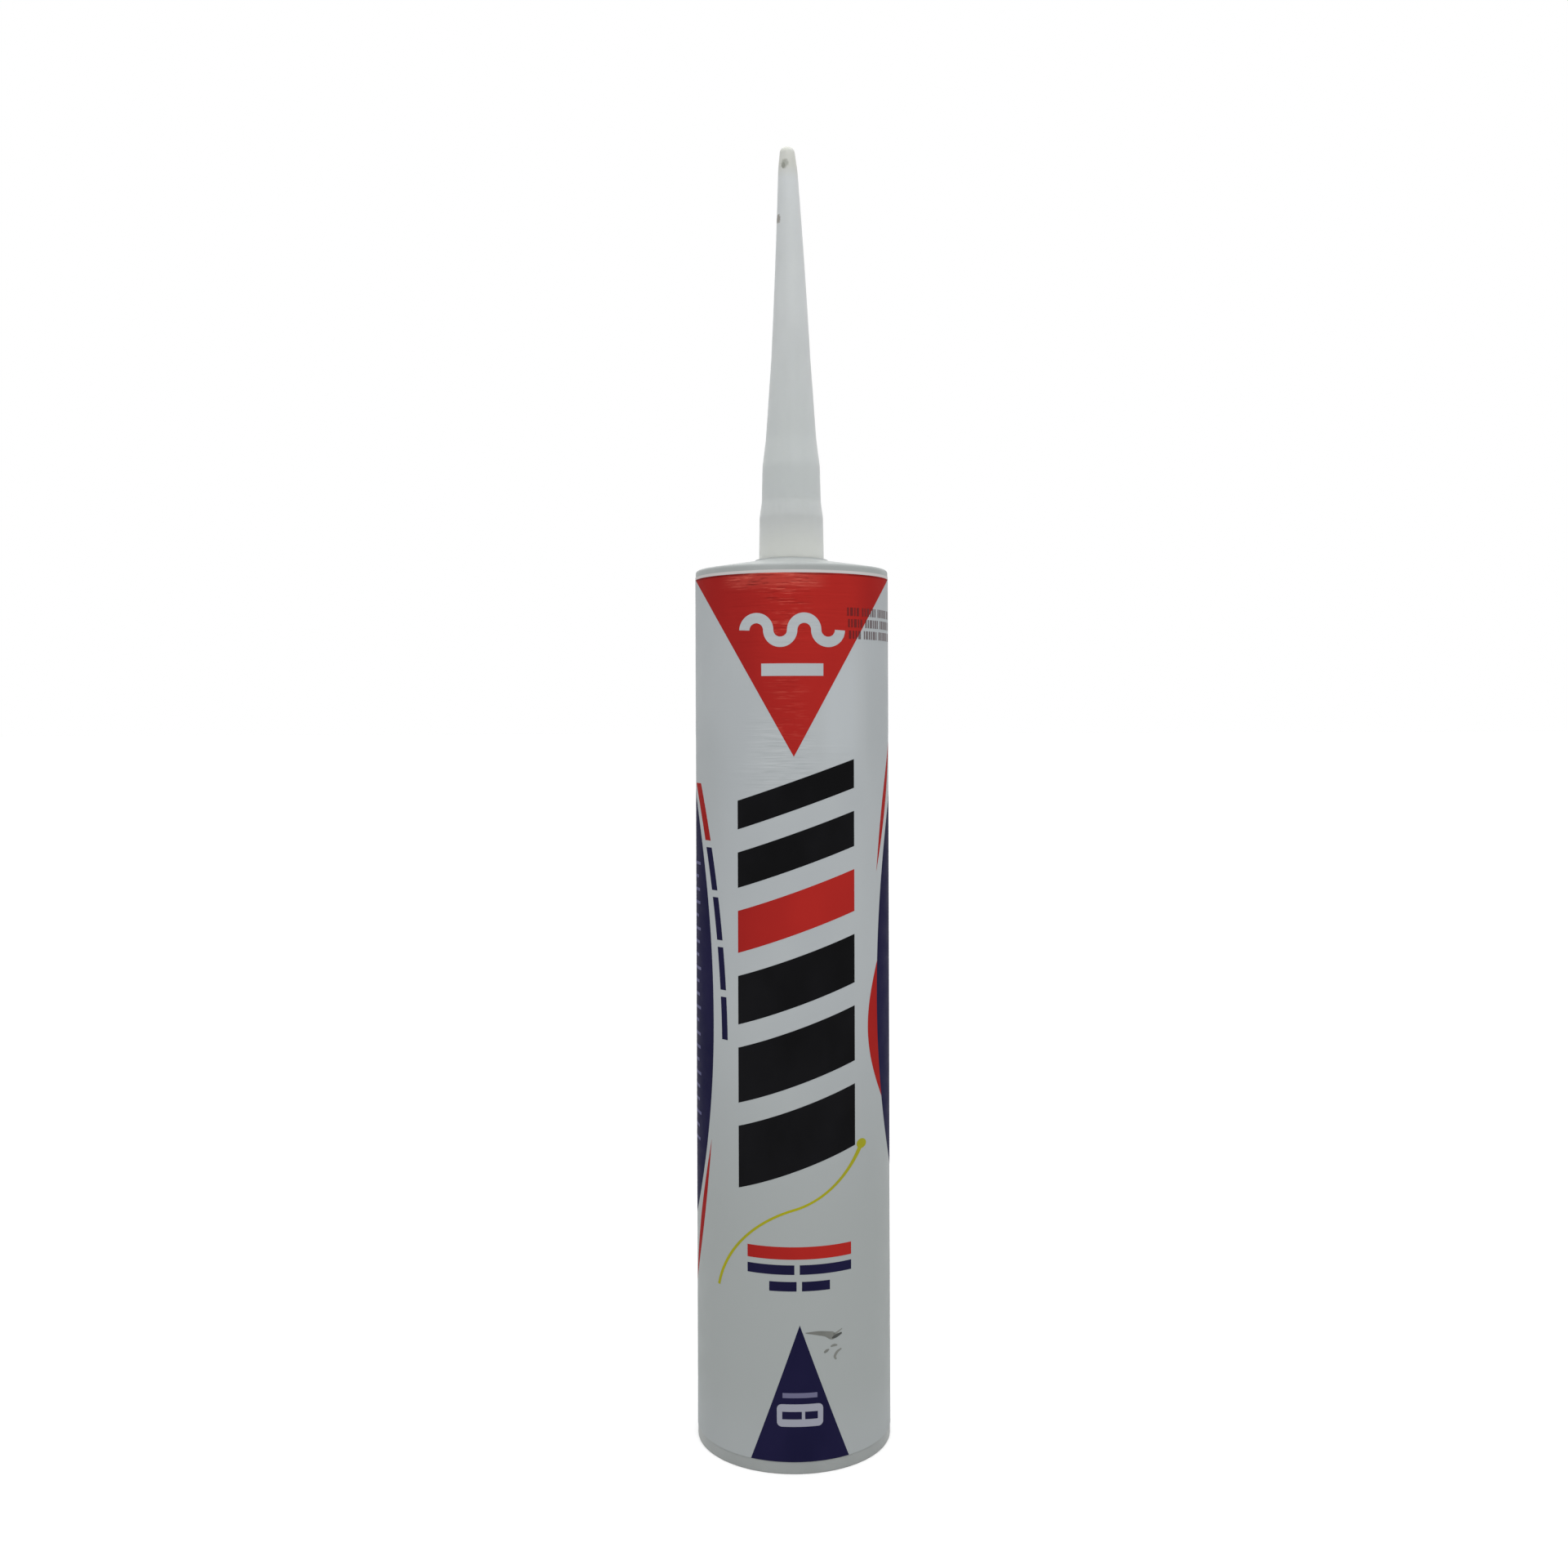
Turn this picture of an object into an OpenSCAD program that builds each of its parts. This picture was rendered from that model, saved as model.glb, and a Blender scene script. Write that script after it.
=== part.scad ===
// Sealant cartridge for a caulking gun: barrel with a threaded neck, screw-on nozzle,
// sliding piston, the sealant between them, and a printed wrap-round label.
// Millimetres. The cartridge stands on its open rear end at z = 0, with its axis on Z
// and the front of the label towards -Y.

/* [Barrel] */
// Outside diameter of the barrel
barrel_od = 49; // [44:0.5:60]
// Wall of the barrel
barrel_wall = 1.2; // [0.8:0.1:1.8]
// Length of the barrel from its rear edge to the edge of the shoulder
barrel_len = 219.6; // [200:0.2:240]
// Rounding of the outer edge at the shoulder
rim_round = 0.9; // [0.4:0.1:1.5]
// Rounding of the outer edge at the rear
rear_round = 0.3; // [0.2:0.1:0.4]
// Radial width of the chamfer that leads the piston in at the rear
lead_in = 0.25; // [0.1:0.05:0.3]
// Length of that chamfer
lead_in_len = 1.2; // [0.8:0.2:3]
// How much wider than the bore the entry behind the piston is, in radius
entry_relief = 0.15; // [0.1:0.05:0.2]
// Length of the entry from the rear edge
entry_len = 15; // [8:0.5:18]
// Length of the cone from the entry to the bore
entry_cone = 2; // [1:0.5:4]

/* [Shoulder and neck] */
// Slope of the shoulder
shoulder_angle = 9.5; // [6:0.5:14]
// Thickness of the shoulder, measured along the axis
shoulder_t = 1.6; // [1.2:0.1:2.2]
// Radius of the flat seat under the nozzle
seat_r = 9.3; // [9:0.1:11]
// Height of the seat above the shoulder
seat_h = 0.4; // [0.2:0.1:0.8]
// Radius of the neck under its thread
neck_r = 6.5; // [6:0.1:6.7]
// Bore radius of the neck
neck_bore_r = 5.2; // [4.4:0.1:5.4]
// Height of the neck above the seat
neck_len = 12.4; // [11:0.2:14]
// Radius of the tip that is cut off to open the cartridge
cut_tip_r = 4.2; // [3.6:0.1:4.6]
// Height of the cut-off tip above the neck
cut_tip_len = 5; // [3:0.5:6]
// Wall of the cut-off tip
cut_tip_wall = 1; // [0.8:0.1:1.2]

/* [Thread] */
// Height of the thread above the neck
thread_h = 0.75; // [0.5:0.05:0.8]
// Rise of the thread in one turn
thread_pitch = 3; // [2.5:0.1:3.5]
// Number of turns
thread_turns = 2.5; // [2:0.25:3.25]
// Width of the thread at its foot
thread_foot = 1.5; // [1.2:0.1:1.8]
// Width of the thread at its crest
thread_crest = 0.6; // [0.4:0.1:0.8]
// Height of the thread's lower end above the seat
thread_start = 1.3; // [0.8:0.1:2]
// Radial gap between the thread's crest and the nozzle
thread_clear = 0.25; // [0.15:0.05:0.4]

/* [Nozzle] */
// Length of the nozzle
nozzle_len = 105.8; // [90:0.2:130]
// Outer radius at the foot of the skirt
skirt_r = 8.3; // [8.3:0.05:9]
// Length of the skirt
skirt_len = 11; // [10:0.2:13]
// Depth of the socket that covers the thread
socket_depth = 10.8; // [10.6:0.1:12]
// Height of the slope between the skirt and the collar
skirt_step = 4; // [1:0.2:5]
// Inward draft of each straight stretch, in radius
draft = 0.2; // [0:0.05:0.2]
// Outer radius of the collar above the skirt
collar_r = 7.55; // [7.5:0.05:8]
// Length of the collar
collar_len = 9; // [8:0.2:12]
// Outer radius where the short steep cone ends
waist_r = 6.45; // [6:0.1:6.8]
// Length of the short steep cone
waist_len = 7; // [6:0.2:12]
// Outer radius halfway up the long cone
mid_r = 5; // [4.6:0.05:5.4]
// Length of the lower half of the long cone
mid_len = 20.8; // [16:0.2:26]
// Outer radius of the closed tip
tip_r = 2.2; // [1.9:0.1:2.6]
// Rounding of the closed tip
tip_round = 1.8; // [0.8:0.1:1.8]
// Wall of the nozzle above its skirt
nozzle_wall = 0.95; // [0.8:0.05:1.1]
// Thickness of the end that is cut off before use
tip_closed = 2.6; // [2:0.2:6]

/* [Piston] */
// Distance from the rear edge of the barrel to the rear edge of the piston
piston_recess = 21; // [8:0.5:26]
// Height of the piston at its wall
piston_h = 16; // [12:0.5:18]
// Radial gap between the sealing lips and the barrel
piston_clear = 0.05; // [0.02:0.01:0.09]
// Depth of the groove between the two lips
lip_relief = 0.7; // [0.4:0.1:1]
// Height of each sealing lip
lip_h = 1.4; // [1:0.1:2]
// Wall of the piston
piston_wall = 1.2; // [1:0.1:1.6]
// Thickness of the piston's face, measured along the axis
piston_face_t = 1.4; // [1:0.1:2]
// Number of radial ribs behind the face
piston_ribs = 8; // [6:1:12]
// Thickness of each rib
rib_t = 1; // [0.8:0.1:1.4]
// Height of the ribs behind the face
rib_h = 3; // [2:0.5:4]
// Outer radius of the hub where the ribs meet
hub_r = 5.5; // [4:0.5:8]

/* [Sealant] */
// Radial gap between the sealant and the wall that holds it
fill_clear = 0.02; // [0.01:0.01:0.05]
// Gap between the sealant and the face of the piston
fill_gap = 0.3; // [0.2:0.1:0.5]

/* [Label] */
// Thickness of the label film
film_t = 0.1; // [0.06:0.01:0.2]
// Thickness of the printed colour on the film
ink_t = 0.05; // [0.03:0.01:0.08]
// Bare barrel below the label
film_low = 3; // [1:0.2:8]
// Bare barrel above the label
film_high = 1.8; // [1.4:0.2:6]
// White margin between the upper edge of the film and the print
film_margin = 0.7; // [0.3:0.1:2]
// Width of the overlap where the film meets itself
overlap_w = 7; // [4:0.5:12]
// Place of the overlap, counted from the front of the label
overlap_angle = 146; // [130:2:160]

/* [Print at the top] */
// Distance from the side of the barrel to each upper corner of the red triangle
crown_side = 0.25; // [0.2:0.05:4]
// Height of the red triangle
crown_h = 44.4; // [36:0.2:50]
// Sideways place of the red triangle's point
crown_lean = 0.3; // [-1:0.1:1]
// Distance from the top of the print to the centre line of the white wave
wave_drop = 13.8; // [12:0.2:16]
// Mean radius of each bow of the wave
wave_r = 2.9; // [2.4:0.1:3.2]
// Width of the wave's stroke
wave_w = 2.5; // [1.5:0.1:2.8]
// Number of bows in the wave
wave_bows = 4; // [2:1:4]
// Distance from the top of the print to the centre of the white bar
crown_bar_drop = 23.4; // [22:0.2:25]
// Width of the white bar
crown_bar_w = 15; // [8:0.5:17]
// Height of the white bar
crown_bar_h = 3; // [2:0.1:3.4]

/* [Print in the middle] */
// Height of the lowest slanted bar above the rear edge
bars_low = 68; // [66:0.5:74]
// Height left free between the highest bar and the point of the red triangle
bars_gap = 0.7; // [0.4:0.1:4]
// Thickness that each bar loses to the one below it
bar_step = 1.6; // [1:0.1:2]
// Gap between the bars
bar_gap = 5.6; // [4:0.1:6]
// Number of bars
bar_count = 6; // [3:1:6]
// Which bar is red, counted from the lowest
red_bar = 3; // [0:1:5]
// Left end of the bars
bars_left = 13.4; // [10:0.2:16]
// Right end of the bars
bars_right = 15; // [10:0.2:16]
// Rise of the bars from left to right
bar_rise = 10; // [6:0.5:12]

/* [Print at the bottom] */
// Sideways place of the navy triangle
gore_x = 1.3; // [-3:0.1:3]
// Half the width of the navy triangle
gore_w = 11.9; // [10:0.1:16]
// Height of the navy triangle
gore_h = 32.9; // [28:0.2:36]
// Width of the white plate in the navy triangle
plate_w = 11.2; // [9:0.2:11.4]
// Height of the white plate
plate_h = 5.4; // [4:0.2:6]
// Rounding of the white plate
plate_round = 1.2; // [0.6:0.1:1.6]
// Height of the plate's centre above the print's lower edge
plate_z = 11.2; // [9:0.2:12]
// Height of each bar that stands for a word on the plate
plate_word_h = 1.8; // [1.6:0.1:3]
// Width of the plate's words with the gap between them
plate_words_w = 8.6; // [6:0.2:9]
// Height of the white bar above the centre of the plate
gore_bar_up = 4.8; // [4.2:0.1:5.2]
// Width of that bar
gore_bar_w = 8.4; // [5:0.2:9]
// Height of that bar
gore_bar_h = 1.2; // [0.8:0.1:1.8]
// Height of the red line of the caption above the rear edge
caption_z = 53.2; // [50:0.2:55]
// Width of the caption's long lines
caption_w = 25.2; // [18:0.2:28]
// Width of the caption's short line
caption_short_w = 14.7; // [10:0.1:20]
// Distance from one line of the caption to the next
caption_pitch = 4; // [3.6:0.1:4.4]
// Height of the caption's lines
caption_line = 2.3; // [1.6:0.1:2.6]
// How much higher the caption's red line is than the others
caption_bold = 0.7; // [0:0.1:1]
// Radius of both bows of the long yellow line
stroke_r = 26; // [22:1:30]
// Width of the yellow line
stroke_w = 0.7; // [0.5:0.1:1.2]
// Height of the middle of the yellow line above the rear edge
stroke_z = 63.6; // [62:0.2:66]
// Tilt of the yellow line at its middle
stroke_tilt = 16; // [10:1:22]
// Angle that the right bow of the yellow line turns through
stroke_up = 50; // [40:1:56]
// Angle that its left bow turns through
stroke_down = 64; // [50:1:70]
// Radius of the drop at the upper end of the yellow line
drop_r = 1.2; // [0.8:0.1:1.4]

/* [Print at the sides] */
// Radius of the upper half of the bow that edges each navy side panel
side_r_up = 330; // [240:5:420]
// Radius of the lower half of that bow
side_r_low = 262; // [200:2:420]
// How far the left panel reaches in from the side of the barrel
side_left = 5; // [3:0.1:6]
// How far the right panel reaches in from the side of the barrel
side_right = 3.9; // [3:0.1:6]
// Height of the left panel's middle above the rear edge
side_left_z = 107; // [95:1:120]
// Height of the right panel's middle above the rear edge
side_right_z = 113; // [95:1:120]
// Distance from the left panel to the lower end of the row of dashes beside it
dash_gap = 2.2; // [1.8:0.1:2.6]
// How much nearer to the panel the row comes for each mm of height
dash_lean = 0.025; // [0:0.005:0.03]
// Width of the dashes
dash_w = 1.4; // [0.6:0.1:1.8]
// Height of the lower end of the row
dash_low = 103.4; // [98:0.2:108]
// Number of navy dashes
dash_count = 4; // [3:1:5]
// Length of each navy dash
dash_len = 10.4; // [6:0.2:11]
// Length of the red dash above them
dash_red = 14; // [8:1:15]
// Gap between two dashes
dash_break = 1.7; // [1:0.1:2.4]
// Height of the lower point of the red crescent against the right panel
crescent_low = 88; // [80:1:100]
// Height of its upper point
crescent_high = 122; // [110:1:130]
// How far the red crescent stands out from the right panel
crescent_w = 2.5; // [1.5:0.1:3]
// Height of the upper tip of the left red sliver
sliver_left_z = 78; // [70:1:84]
// Distance from the side of the label to that tip
sliver_left_in = 4.4; // [3:0.1:5]
// Length of the left sliver, down to the side of the label
sliver_left_h = 38; // [20:1:44]
// Height of the lower tip of the right red sliver
sliver_right_z = 144; // [140:1:150]
// Distance from the side of the label to that tip
sliver_right_in = 3.9; // [3:0.1:5]
// Length of the right sliver, up to the side of the label
sliver_right_h = 32; // [20:1:40]
// Width of both slivers at their middle
sliver_w = 0.95; // [0.6:0.05:1.2]

/* [Hidden] */
$fn = 96;

eps = 0.01;
over = 1;

barrel_r = barrel_od / 2;
bore_r = barrel_r - barrel_wall;
entry_r = bore_r + entry_relief;
slope = tan(shoulder_angle);
seat_z = barrel_len + (barrel_r - rim_round - seat_r) * slope + seat_h;
neck_top = seat_z + neck_len;
cut_tip_top = neck_top + cut_tip_len;
cut_tip_draft = 0.6;
neck_chamfer = 0.5;
cone_in_z = barrel_len - shoulder_t;
function shoulder_in(r) = cone_in_z + (bore_r - r) * slope;

socket_r = neck_r + thread_h + thread_clear;
skirt_chamfer = 0.3;
collar_z = skirt_len + skirt_step;
waist_z = collar_z + collar_len;
mid_z = waist_z + waist_len;
long_z = mid_z + mid_len;
tip_z = nozzle_len - tip_round;

piston_z = piston_recess;
lip_r = bore_r - piston_clear;
groove_r = lip_r - lip_relief;
lip_slant = 0.8;
piston_in_r = groove_r - piston_wall;
face_edge_r = lip_r - lip_slant;
function piston_face(r) = piston_h + (face_edge_r - r) * slope;
hub_wall = 1.2;

film_r = barrel_r + film_t;
label_r = film_r + ink_t;
film_top = barrel_len - film_high;
print_top = film_top - film_margin;
print_low = film_low;
crown_w = label_r - crown_side;
crown_apex = print_top - crown_h;
bars_h = crown_apex - bars_gap - bars_low;
word_share = 0.45;
caption_gap = 1.3;
plate_gap = 0.8;
bar_t = (bars_h - bar_rise - (bar_count - 1) * bar_gap) / bar_count + bar_step * (bar_count - 1) / 2;

plastic_white = [0.80, 0.82, 0.82];
nozzle_white = [0.84, 0.86, 0.87];
film_white = [0.82, 0.84, 0.85];
paste_white = [0.90, 0.90, 0.88];
red_ink = [0.69, 0.13, 0.12];
navy_ink = [0.13, 0.12, 0.28];
black_ink = [0.10, 0.10, 0.11];
yellow_ink = [0.60, 0.60, 0.06];

// Points of an arc round [r, z] point c, from angle a to angle b
function arc(c, r, a, b, n = 8) =
    [for (i = [0:n]) c + r * [cos(a + (b - a) * i / n), sin(a + (b - a) * i / n)]];

// Barrel, shoulder, neck and closed tip, moulded as one piece
module barrel() {
    color(plastic_white)
    union() {
        rotate_extrude()
            polygon(concat(
                [[entry_r + lead_in, 0]],
                arc([barrel_r - rear_round, rear_round], rear_round, -90, 0),
                arc([barrel_r - rim_round, barrel_len - rim_round], rim_round, 0, 90 - shoulder_angle),
                [
                    [seat_r, seat_z - seat_h],
                    [seat_r, seat_z],
                    [neck_r, seat_z],
                    [neck_r, neck_top - neck_chamfer],
                    [neck_r - neck_chamfer, neck_top],
                    [cut_tip_r, neck_top]
                ],
                arc([cut_tip_r - cut_tip_draft - cut_tip_wall, cut_tip_top - cut_tip_wall], cut_tip_wall, 0, 90),
                [
                    [0, cut_tip_top],
                    [0, cut_tip_top - cut_tip_wall],
                    [cut_tip_r - cut_tip_draft - cut_tip_wall, cut_tip_top - cut_tip_wall],
                    [cut_tip_r - cut_tip_wall, neck_top - cut_tip_wall],
                    [neck_bore_r, neck_top - cut_tip_wall - neck_chamfer],
                    [neck_bore_r, shoulder_in(neck_bore_r)],
                    [bore_r, cone_in_z],
                    [bore_r, entry_len + entry_cone],
                    [entry_r, entry_len],
                    [entry_r, lead_in_len]
                ]
            ));
        neck_thread();
    }
}

// Helical ridge on the neck: a trapezoid swept round the axis that sinks into the neck at both ends
module neck_thread() {
    step_count = 32;
    rings = round(thread_turns * step_count);
    fade = step_count / 3;
    deep = 0.45;
    flank = (thread_foot - thread_crest) / 2 / thread_h;
    root = neck_r - deep;
    wide = thread_foot / 2 + deep * flank;
    first = seat_z + thread_start + thread_foot / 2;
    points = [
        for (i = [0:rings])
        let (
            turn = 360 * i / step_count + 3,
            grow = min(1, i / fade, (rings - i) / fade),
            crest = root + 0.15 + (deep + thread_h - 0.15) * grow,
            z = first + thread_pitch * i / step_count
        )
        for (p = [[root, -wide], [crest, -thread_crest / 2], [crest, thread_crest / 2], [root, wide]])
        [p[0] * cos(turn), p[0] * sin(turn), z + p[1]]
    ];
    corners = 4;
    sides = [
        for (i = [0:rings - 1], k = [0:corners - 1])
        let (a = i * corners + k, b = i * corners + (k + 1) % corners)
        each [[a, b, b + corners], [a, b + corners, a + corners]]
    ];
    ends = [
        [for (k = [corners - 1:-1:0]) k],
        [for (k = [0:corners - 1]) rings * corners + k]
    ];
    polyhedron(points = points, faces = concat(sides, ends), convexity = 10);
}

// Nozzle: threaded skirt, collar and two cones, closed at the tip until it is cut
module nozzle() {
    color(nozzle_white)
    translate([0, 0, seat_z])
    rotate_extrude()
        polygon(concat(
            [
                [socket_r, 0],
                [skirt_r - skirt_chamfer, 0],
                [skirt_r, skirt_chamfer],
                [skirt_r - draft, skirt_len],
                [collar_r, collar_z],
                [collar_r - draft, waist_z],
                [waist_r, mid_z],
                [mid_r, long_z]
            ],
            arc([tip_r - tip_round, tip_z], tip_round, 0, 90),
            [
                [0, nozzle_len],
                [0, nozzle_len - tip_closed],
                [tip_r - nozzle_wall, nozzle_len - tip_closed - nozzle_wall],
                [mid_r - nozzle_wall, long_z],
                [waist_r - nozzle_wall, mid_z],
                [collar_r - draft - nozzle_wall, waist_z],
                [collar_r - nozzle_wall, collar_z + nozzle_wall],
                [socket_r, socket_depth]
            ]
        ));
}

// Piston: a cup with two sealing lips, ribbed behind its conical face
module piston() {
    color(plastic_white)
    translate([0, 0, piston_z])
    union() {
        rotate_extrude()
            polygon([
                [piston_in_r, 0],
                [lip_r, 0],
                [lip_r, lip_h],
                [groove_r, lip_h + lip_slant],
                [groove_r, piston_h - lip_slant - lip_h - lip_slant],
                [lip_r, piston_h - lip_slant - lip_h],
                [lip_r, piston_h - lip_slant],
                [face_edge_r, piston_h],
                [0, piston_face(0)],
                [0, piston_face(0) - piston_face_t],
                [piston_in_r, piston_face(piston_in_r) - piston_face_t]
            ]);
        piston_back();
    }
}

// Radial ribs and hub of an even height, behind the face and at its slope
module piston_back() {
    rib_r = piston_in_r + piston_wall / 2;
    intersection() {
        union() {
            for (i = [0:piston_ribs - 1])
                rotate([0, 0, 360 * i / piston_ribs])
                translate([hub_r - hub_wall / 2, -rib_t / 2, 0])
                    cube([rib_r - hub_r + hub_wall / 2, rib_t, 2 * piston_h]);
            difference() {
                cylinder(r = hub_r, h = 2 * piston_h);
                translate([0, 0, -over])
                    cylinder(r = hub_r - hub_wall, h = 2 * piston_h + 2 * over);
            }
        }
        rotate_extrude()
            polygon([
                [0, piston_face(0) - piston_face_t - rib_h],
                [rib_r, piston_face(rib_r) - piston_face_t - rib_h],
                [rib_r, piston_face(rib_r) - piston_face_t / 2],
                [0, piston_face(0) - piston_face_t / 2]
            ]);
    }
}

// Sealant between the piston and the shoulder, with the column that fills the neck
module sealant() {
    fill_r = bore_r - fill_clear;
    column_r = neck_bore_r - fill_clear;
    fill_low = piston_z + fill_gap;
    color(paste_white)
    rotate_extrude()
        polygon([
            [0, fill_low + piston_face(0)],
            [face_edge_r, fill_low + piston_h],
            [fill_r, fill_low + piston_h],
            [fill_r, shoulder_in(bore_r) - fill_clear],
            [column_r, shoulder_in(neck_bore_r) - fill_clear],
            [column_r, neck_top - cut_tip_wall - neck_chamfer - fill_clear],
            [0, neck_top - cut_tip_wall - neck_chamfer - fill_clear]
        ]);
}

// Ring of the label between two radii
module ring(r_in, r_out) {
    difference() {
        translate([0, 0, film_low])
            cylinder(r = r_out, h = film_top - film_low);
        translate([0, 0, film_low - over])
            cylinder(r = r_in, h = film_top - film_low + 2 * over);
    }
}

// Prism that carries a flat outline in x and z through the front of the label
module front() {
    rotate([90, 0, 0])
        linear_extrude(height = label_r + over)
            children();
}

// Prism that carries a flat outline through the front and the back of the label
module both() {
    rotate([90, 0, 0])
        linear_extrude(height = 2 * (label_r + over), center = true)
            children();
}

// Bar centred on [x, z]
module bar(x, z, w, h) {
    translate([x - w / 2, z - h / 2])
        square([w, h]);
}

// Half of a ring, above its centre or below it
module bow(r, w, up) {
    difference() {
        circle(r = r + w / 2);
        circle(r = r - w / 2);
        translate([-2 * r, up ? -2 * r : 0])
            square([4 * r, 2 * r]);
    }
}

// Wave of half rings, a bow up and a bow down in turn
module wave() {
    start = -(wave_bows - 1) * wave_r;
    for (i = [0:wave_bows - 1])
        translate([start + 2 * wave_r * i, print_top - wave_drop])
            bow(wave_r, wave_w, i % 2 == 0);
}

// Inverted triangle with a wave and a bar left white
module crown() {
    difference() {
        polygon([[-crown_w, print_top], [crown_lean, crown_apex], [crown_w, print_top]]);
        wave();
        bar(0, print_top - crown_bar_drop, crown_bar_w, crown_bar_h);
    }
}

// Lower left corner of a slanted bar, and its thickness
function slab_t(i) = bar_t - bar_step * i;
function slab_z(i) = i == 0 ? bars_low : slab_z(i - 1) + slab_t(i - 1) + bar_gap;

// Slanted bar with upright ends
module slab(i) {
    polygon([
        [-bars_left, slab_z(i)],
        [bars_right, slab_z(i) + bar_rise],
        [bars_right, slab_z(i) + bar_rise + slab_t(i)],
        [-bars_left, slab_z(i) + slab_t(i)]
    ]);
}

// Rounded plate centred on the origin
module plate(w, h, r) {
    square([w - 2 * r, h], center = true);
    square([w, h - 2 * r], center = true);
    for (x = [-1, 1], z = [-1, 1])
        translate([x * (w / 2 - r), z * (h / 2 - r)])
            circle(r = r);
}

// Triangle that stands on the lower edge of the label, with a white plate in it
module gore() {
    difference() {
        polygon([
            [gore_x - gore_w, print_low],
            [gore_x + gore_w, print_low],
            [gore_x, print_low + gore_h]
        ]);
        translate([gore_x, print_low + plate_z])
            plate(plate_w, plate_h, plate_round);
        bar(gore_x, print_low + plate_z + gore_bar_up, gore_bar_w, gore_bar_h);
    }
    two_words(plate_words_w, print_low + plate_z, plate_word_h, 1 - word_share, plate_gap);
}

// Two bars in place of two words: the first takes its share of the width, and a gap parts them
module two_words(w, z, h, share, gap) {
    first = w * share;
    rest = w - first - gap;
    bar(gore_x - w / 2 + first / 2, z, first, h);
    bar(gore_x + w / 2 - rest / 2, z, rest, h);
}

// Two lines of the caption, each of two words
module caption_lines() {
    two_words(caption_w, caption_z - caption_pitch, caption_line, word_share, caption_gap);
    two_words(caption_short_w, caption_z - 2 * caption_pitch, caption_line, word_share, caption_gap);
}

// Depth of a side panel at height h from its middle: two bows, flatter above than below
function panel_depth(reach, h) =
    let (r = h > 0 ? side_r_up : side_r_low)
    reach - r + sqrt(r * r - h * h);

// Points down the edge of a side panel between two heights, side -1 for the left and 1 for the right
function panel_edge(side, reach, mid, z0, z1, n = 12) =
    [for (i = [0:n]) let (z = z1 + (z0 - z1) * i / n)
        [side * (label_r - panel_depth(reach, z - mid)), z]];

// Height of a panel above its middle, and below it, where its bow meets the side of the label
function panel_up(reach) = sqrt(side_r_up * side_r_up - pow(side_r_up - reach, 2));
function panel_down(reach) = sqrt(side_r_low * side_r_low - pow(side_r_low - reach, 2));

// Side panel, carried past the side of the label so that it goes on round the back
module panel(side, reach, mid) {
    low = mid - panel_down(reach);
    high = mid + panel_up(reach);
    polygon(concat(
        panel_edge(side, reach, mid, mid, high),
        panel_edge(side, reach, mid, low, mid),
        [[side * (label_r + over), low], [side * (label_r + over), high]]
    ));
}

// Distance of the row of dashes from the left panel at a height
function dash_out(z) = dash_gap - dash_lean * (z - dash_low);

// Dash beside the left panel, between two heights
module dash(z0, z1) {
    n = 4;
    near = [for (i = [0:n]) let (z = z1 + (z0 - z1) * i / n)
        [panel_depth(side_left, z - side_left_z) + dash_out(z) - label_r, z]];
    far = [for (i = [n:-1:0]) near[i] + [dash_w, 0]];
    polygon(concat(near, far));
}

// Height of the lower end of a dash, counted from the lowest
function dash_z(i) = dash_low + i * (dash_len + dash_break);

// Red crescent that lies against the right panel
module crescent() {
    n = 14;
    near = panel_edge(1, side_right, side_right_z, crescent_low, crescent_high, n);
    polygon(concat(near, [for (i = [n - 1:-1:1])
        near[i] - [crescent_w * sin(180 * i / n), 0]]));
}

// Sliver that runs from a tip inside the label to the label's side, up or down
module sliver(side, tip_z, tip_in, length) {
    n = 10;
    edge = crown_side;
    near = [for (i = [0:n]) let (t = i / n)
        [side * (label_r - edge - (tip_in - edge) * pow(1 - t, 1.15) - sliver_w / 2 * sin(180 * t)), tip_z + length * t]];
    far = [for (i = [n - 1:-1:1]) near[i] + [side * sliver_w * sin(180 * i / n), 0]];
    polygon(concat(near, far));
}

// The two slivers that follow the edges of the side panels
module slivers() {
    sliver(-1, sliver_left_z, sliver_left_in, -sliver_left_h);
    sliver(1, sliver_right_z, sliver_right_in, sliver_right_h);
}

// One bow of the yellow line, from the origin to the right and up
module half_stroke(span) {
    difference() {
        translate([0, stroke_r])
            circle(r = stroke_r + stroke_w / 2);
        translate([0, stroke_r])
            circle(r = stroke_r - stroke_w / 2);
        translate([-2 * stroke_r, -stroke_r])
            square([2 * stroke_r, 4 * stroke_r]);
        translate([-over, stroke_r * (1 - cos(span))])
            square([3 * stroke_r, 4 * stroke_r]);
    }
}

// Double bow of the yellow line: the right bow hangs, the left one arches
module long_stroke() {
    translate([0, stroke_z])
    rotate(stroke_tilt) {
        half_stroke(stroke_up);
        translate(stroke_r * [sin(stroke_up), 1 - cos(stroke_up)])
            circle(r = drop_r);
        rotate(180)
            half_stroke(stroke_down);
    }
}

module red_fields() {
    front() crown();
    front() slab(red_bar);
    front() bar(gore_x, caption_z, caption_w, caption_line + caption_bold);
    front() dash(dash_z(dash_count), dash_z(dash_count) + dash_red);
    front() crescent();
    front() slivers();
}

module navy_fields() {
    front() gore();
    front() caption_lines();
    both() panel(-1, side_left, side_left_z);
    both() panel(1, side_right, side_right_z);
    for (i = [0:dash_count - 1])
        front() dash(dash_z(i), dash_z(i) + dash_len);
}

module black_fields() {
    for (i = [0:bar_count - 1])
        if (i != red_bar)
            front() slab(i);
}

module yellow_fields() {
    front() long_stroke();
}

module red_print() {
    color(red_ink)
    intersection() {
        ring(film_r, label_r);
        red_fields();
    }
}

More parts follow.
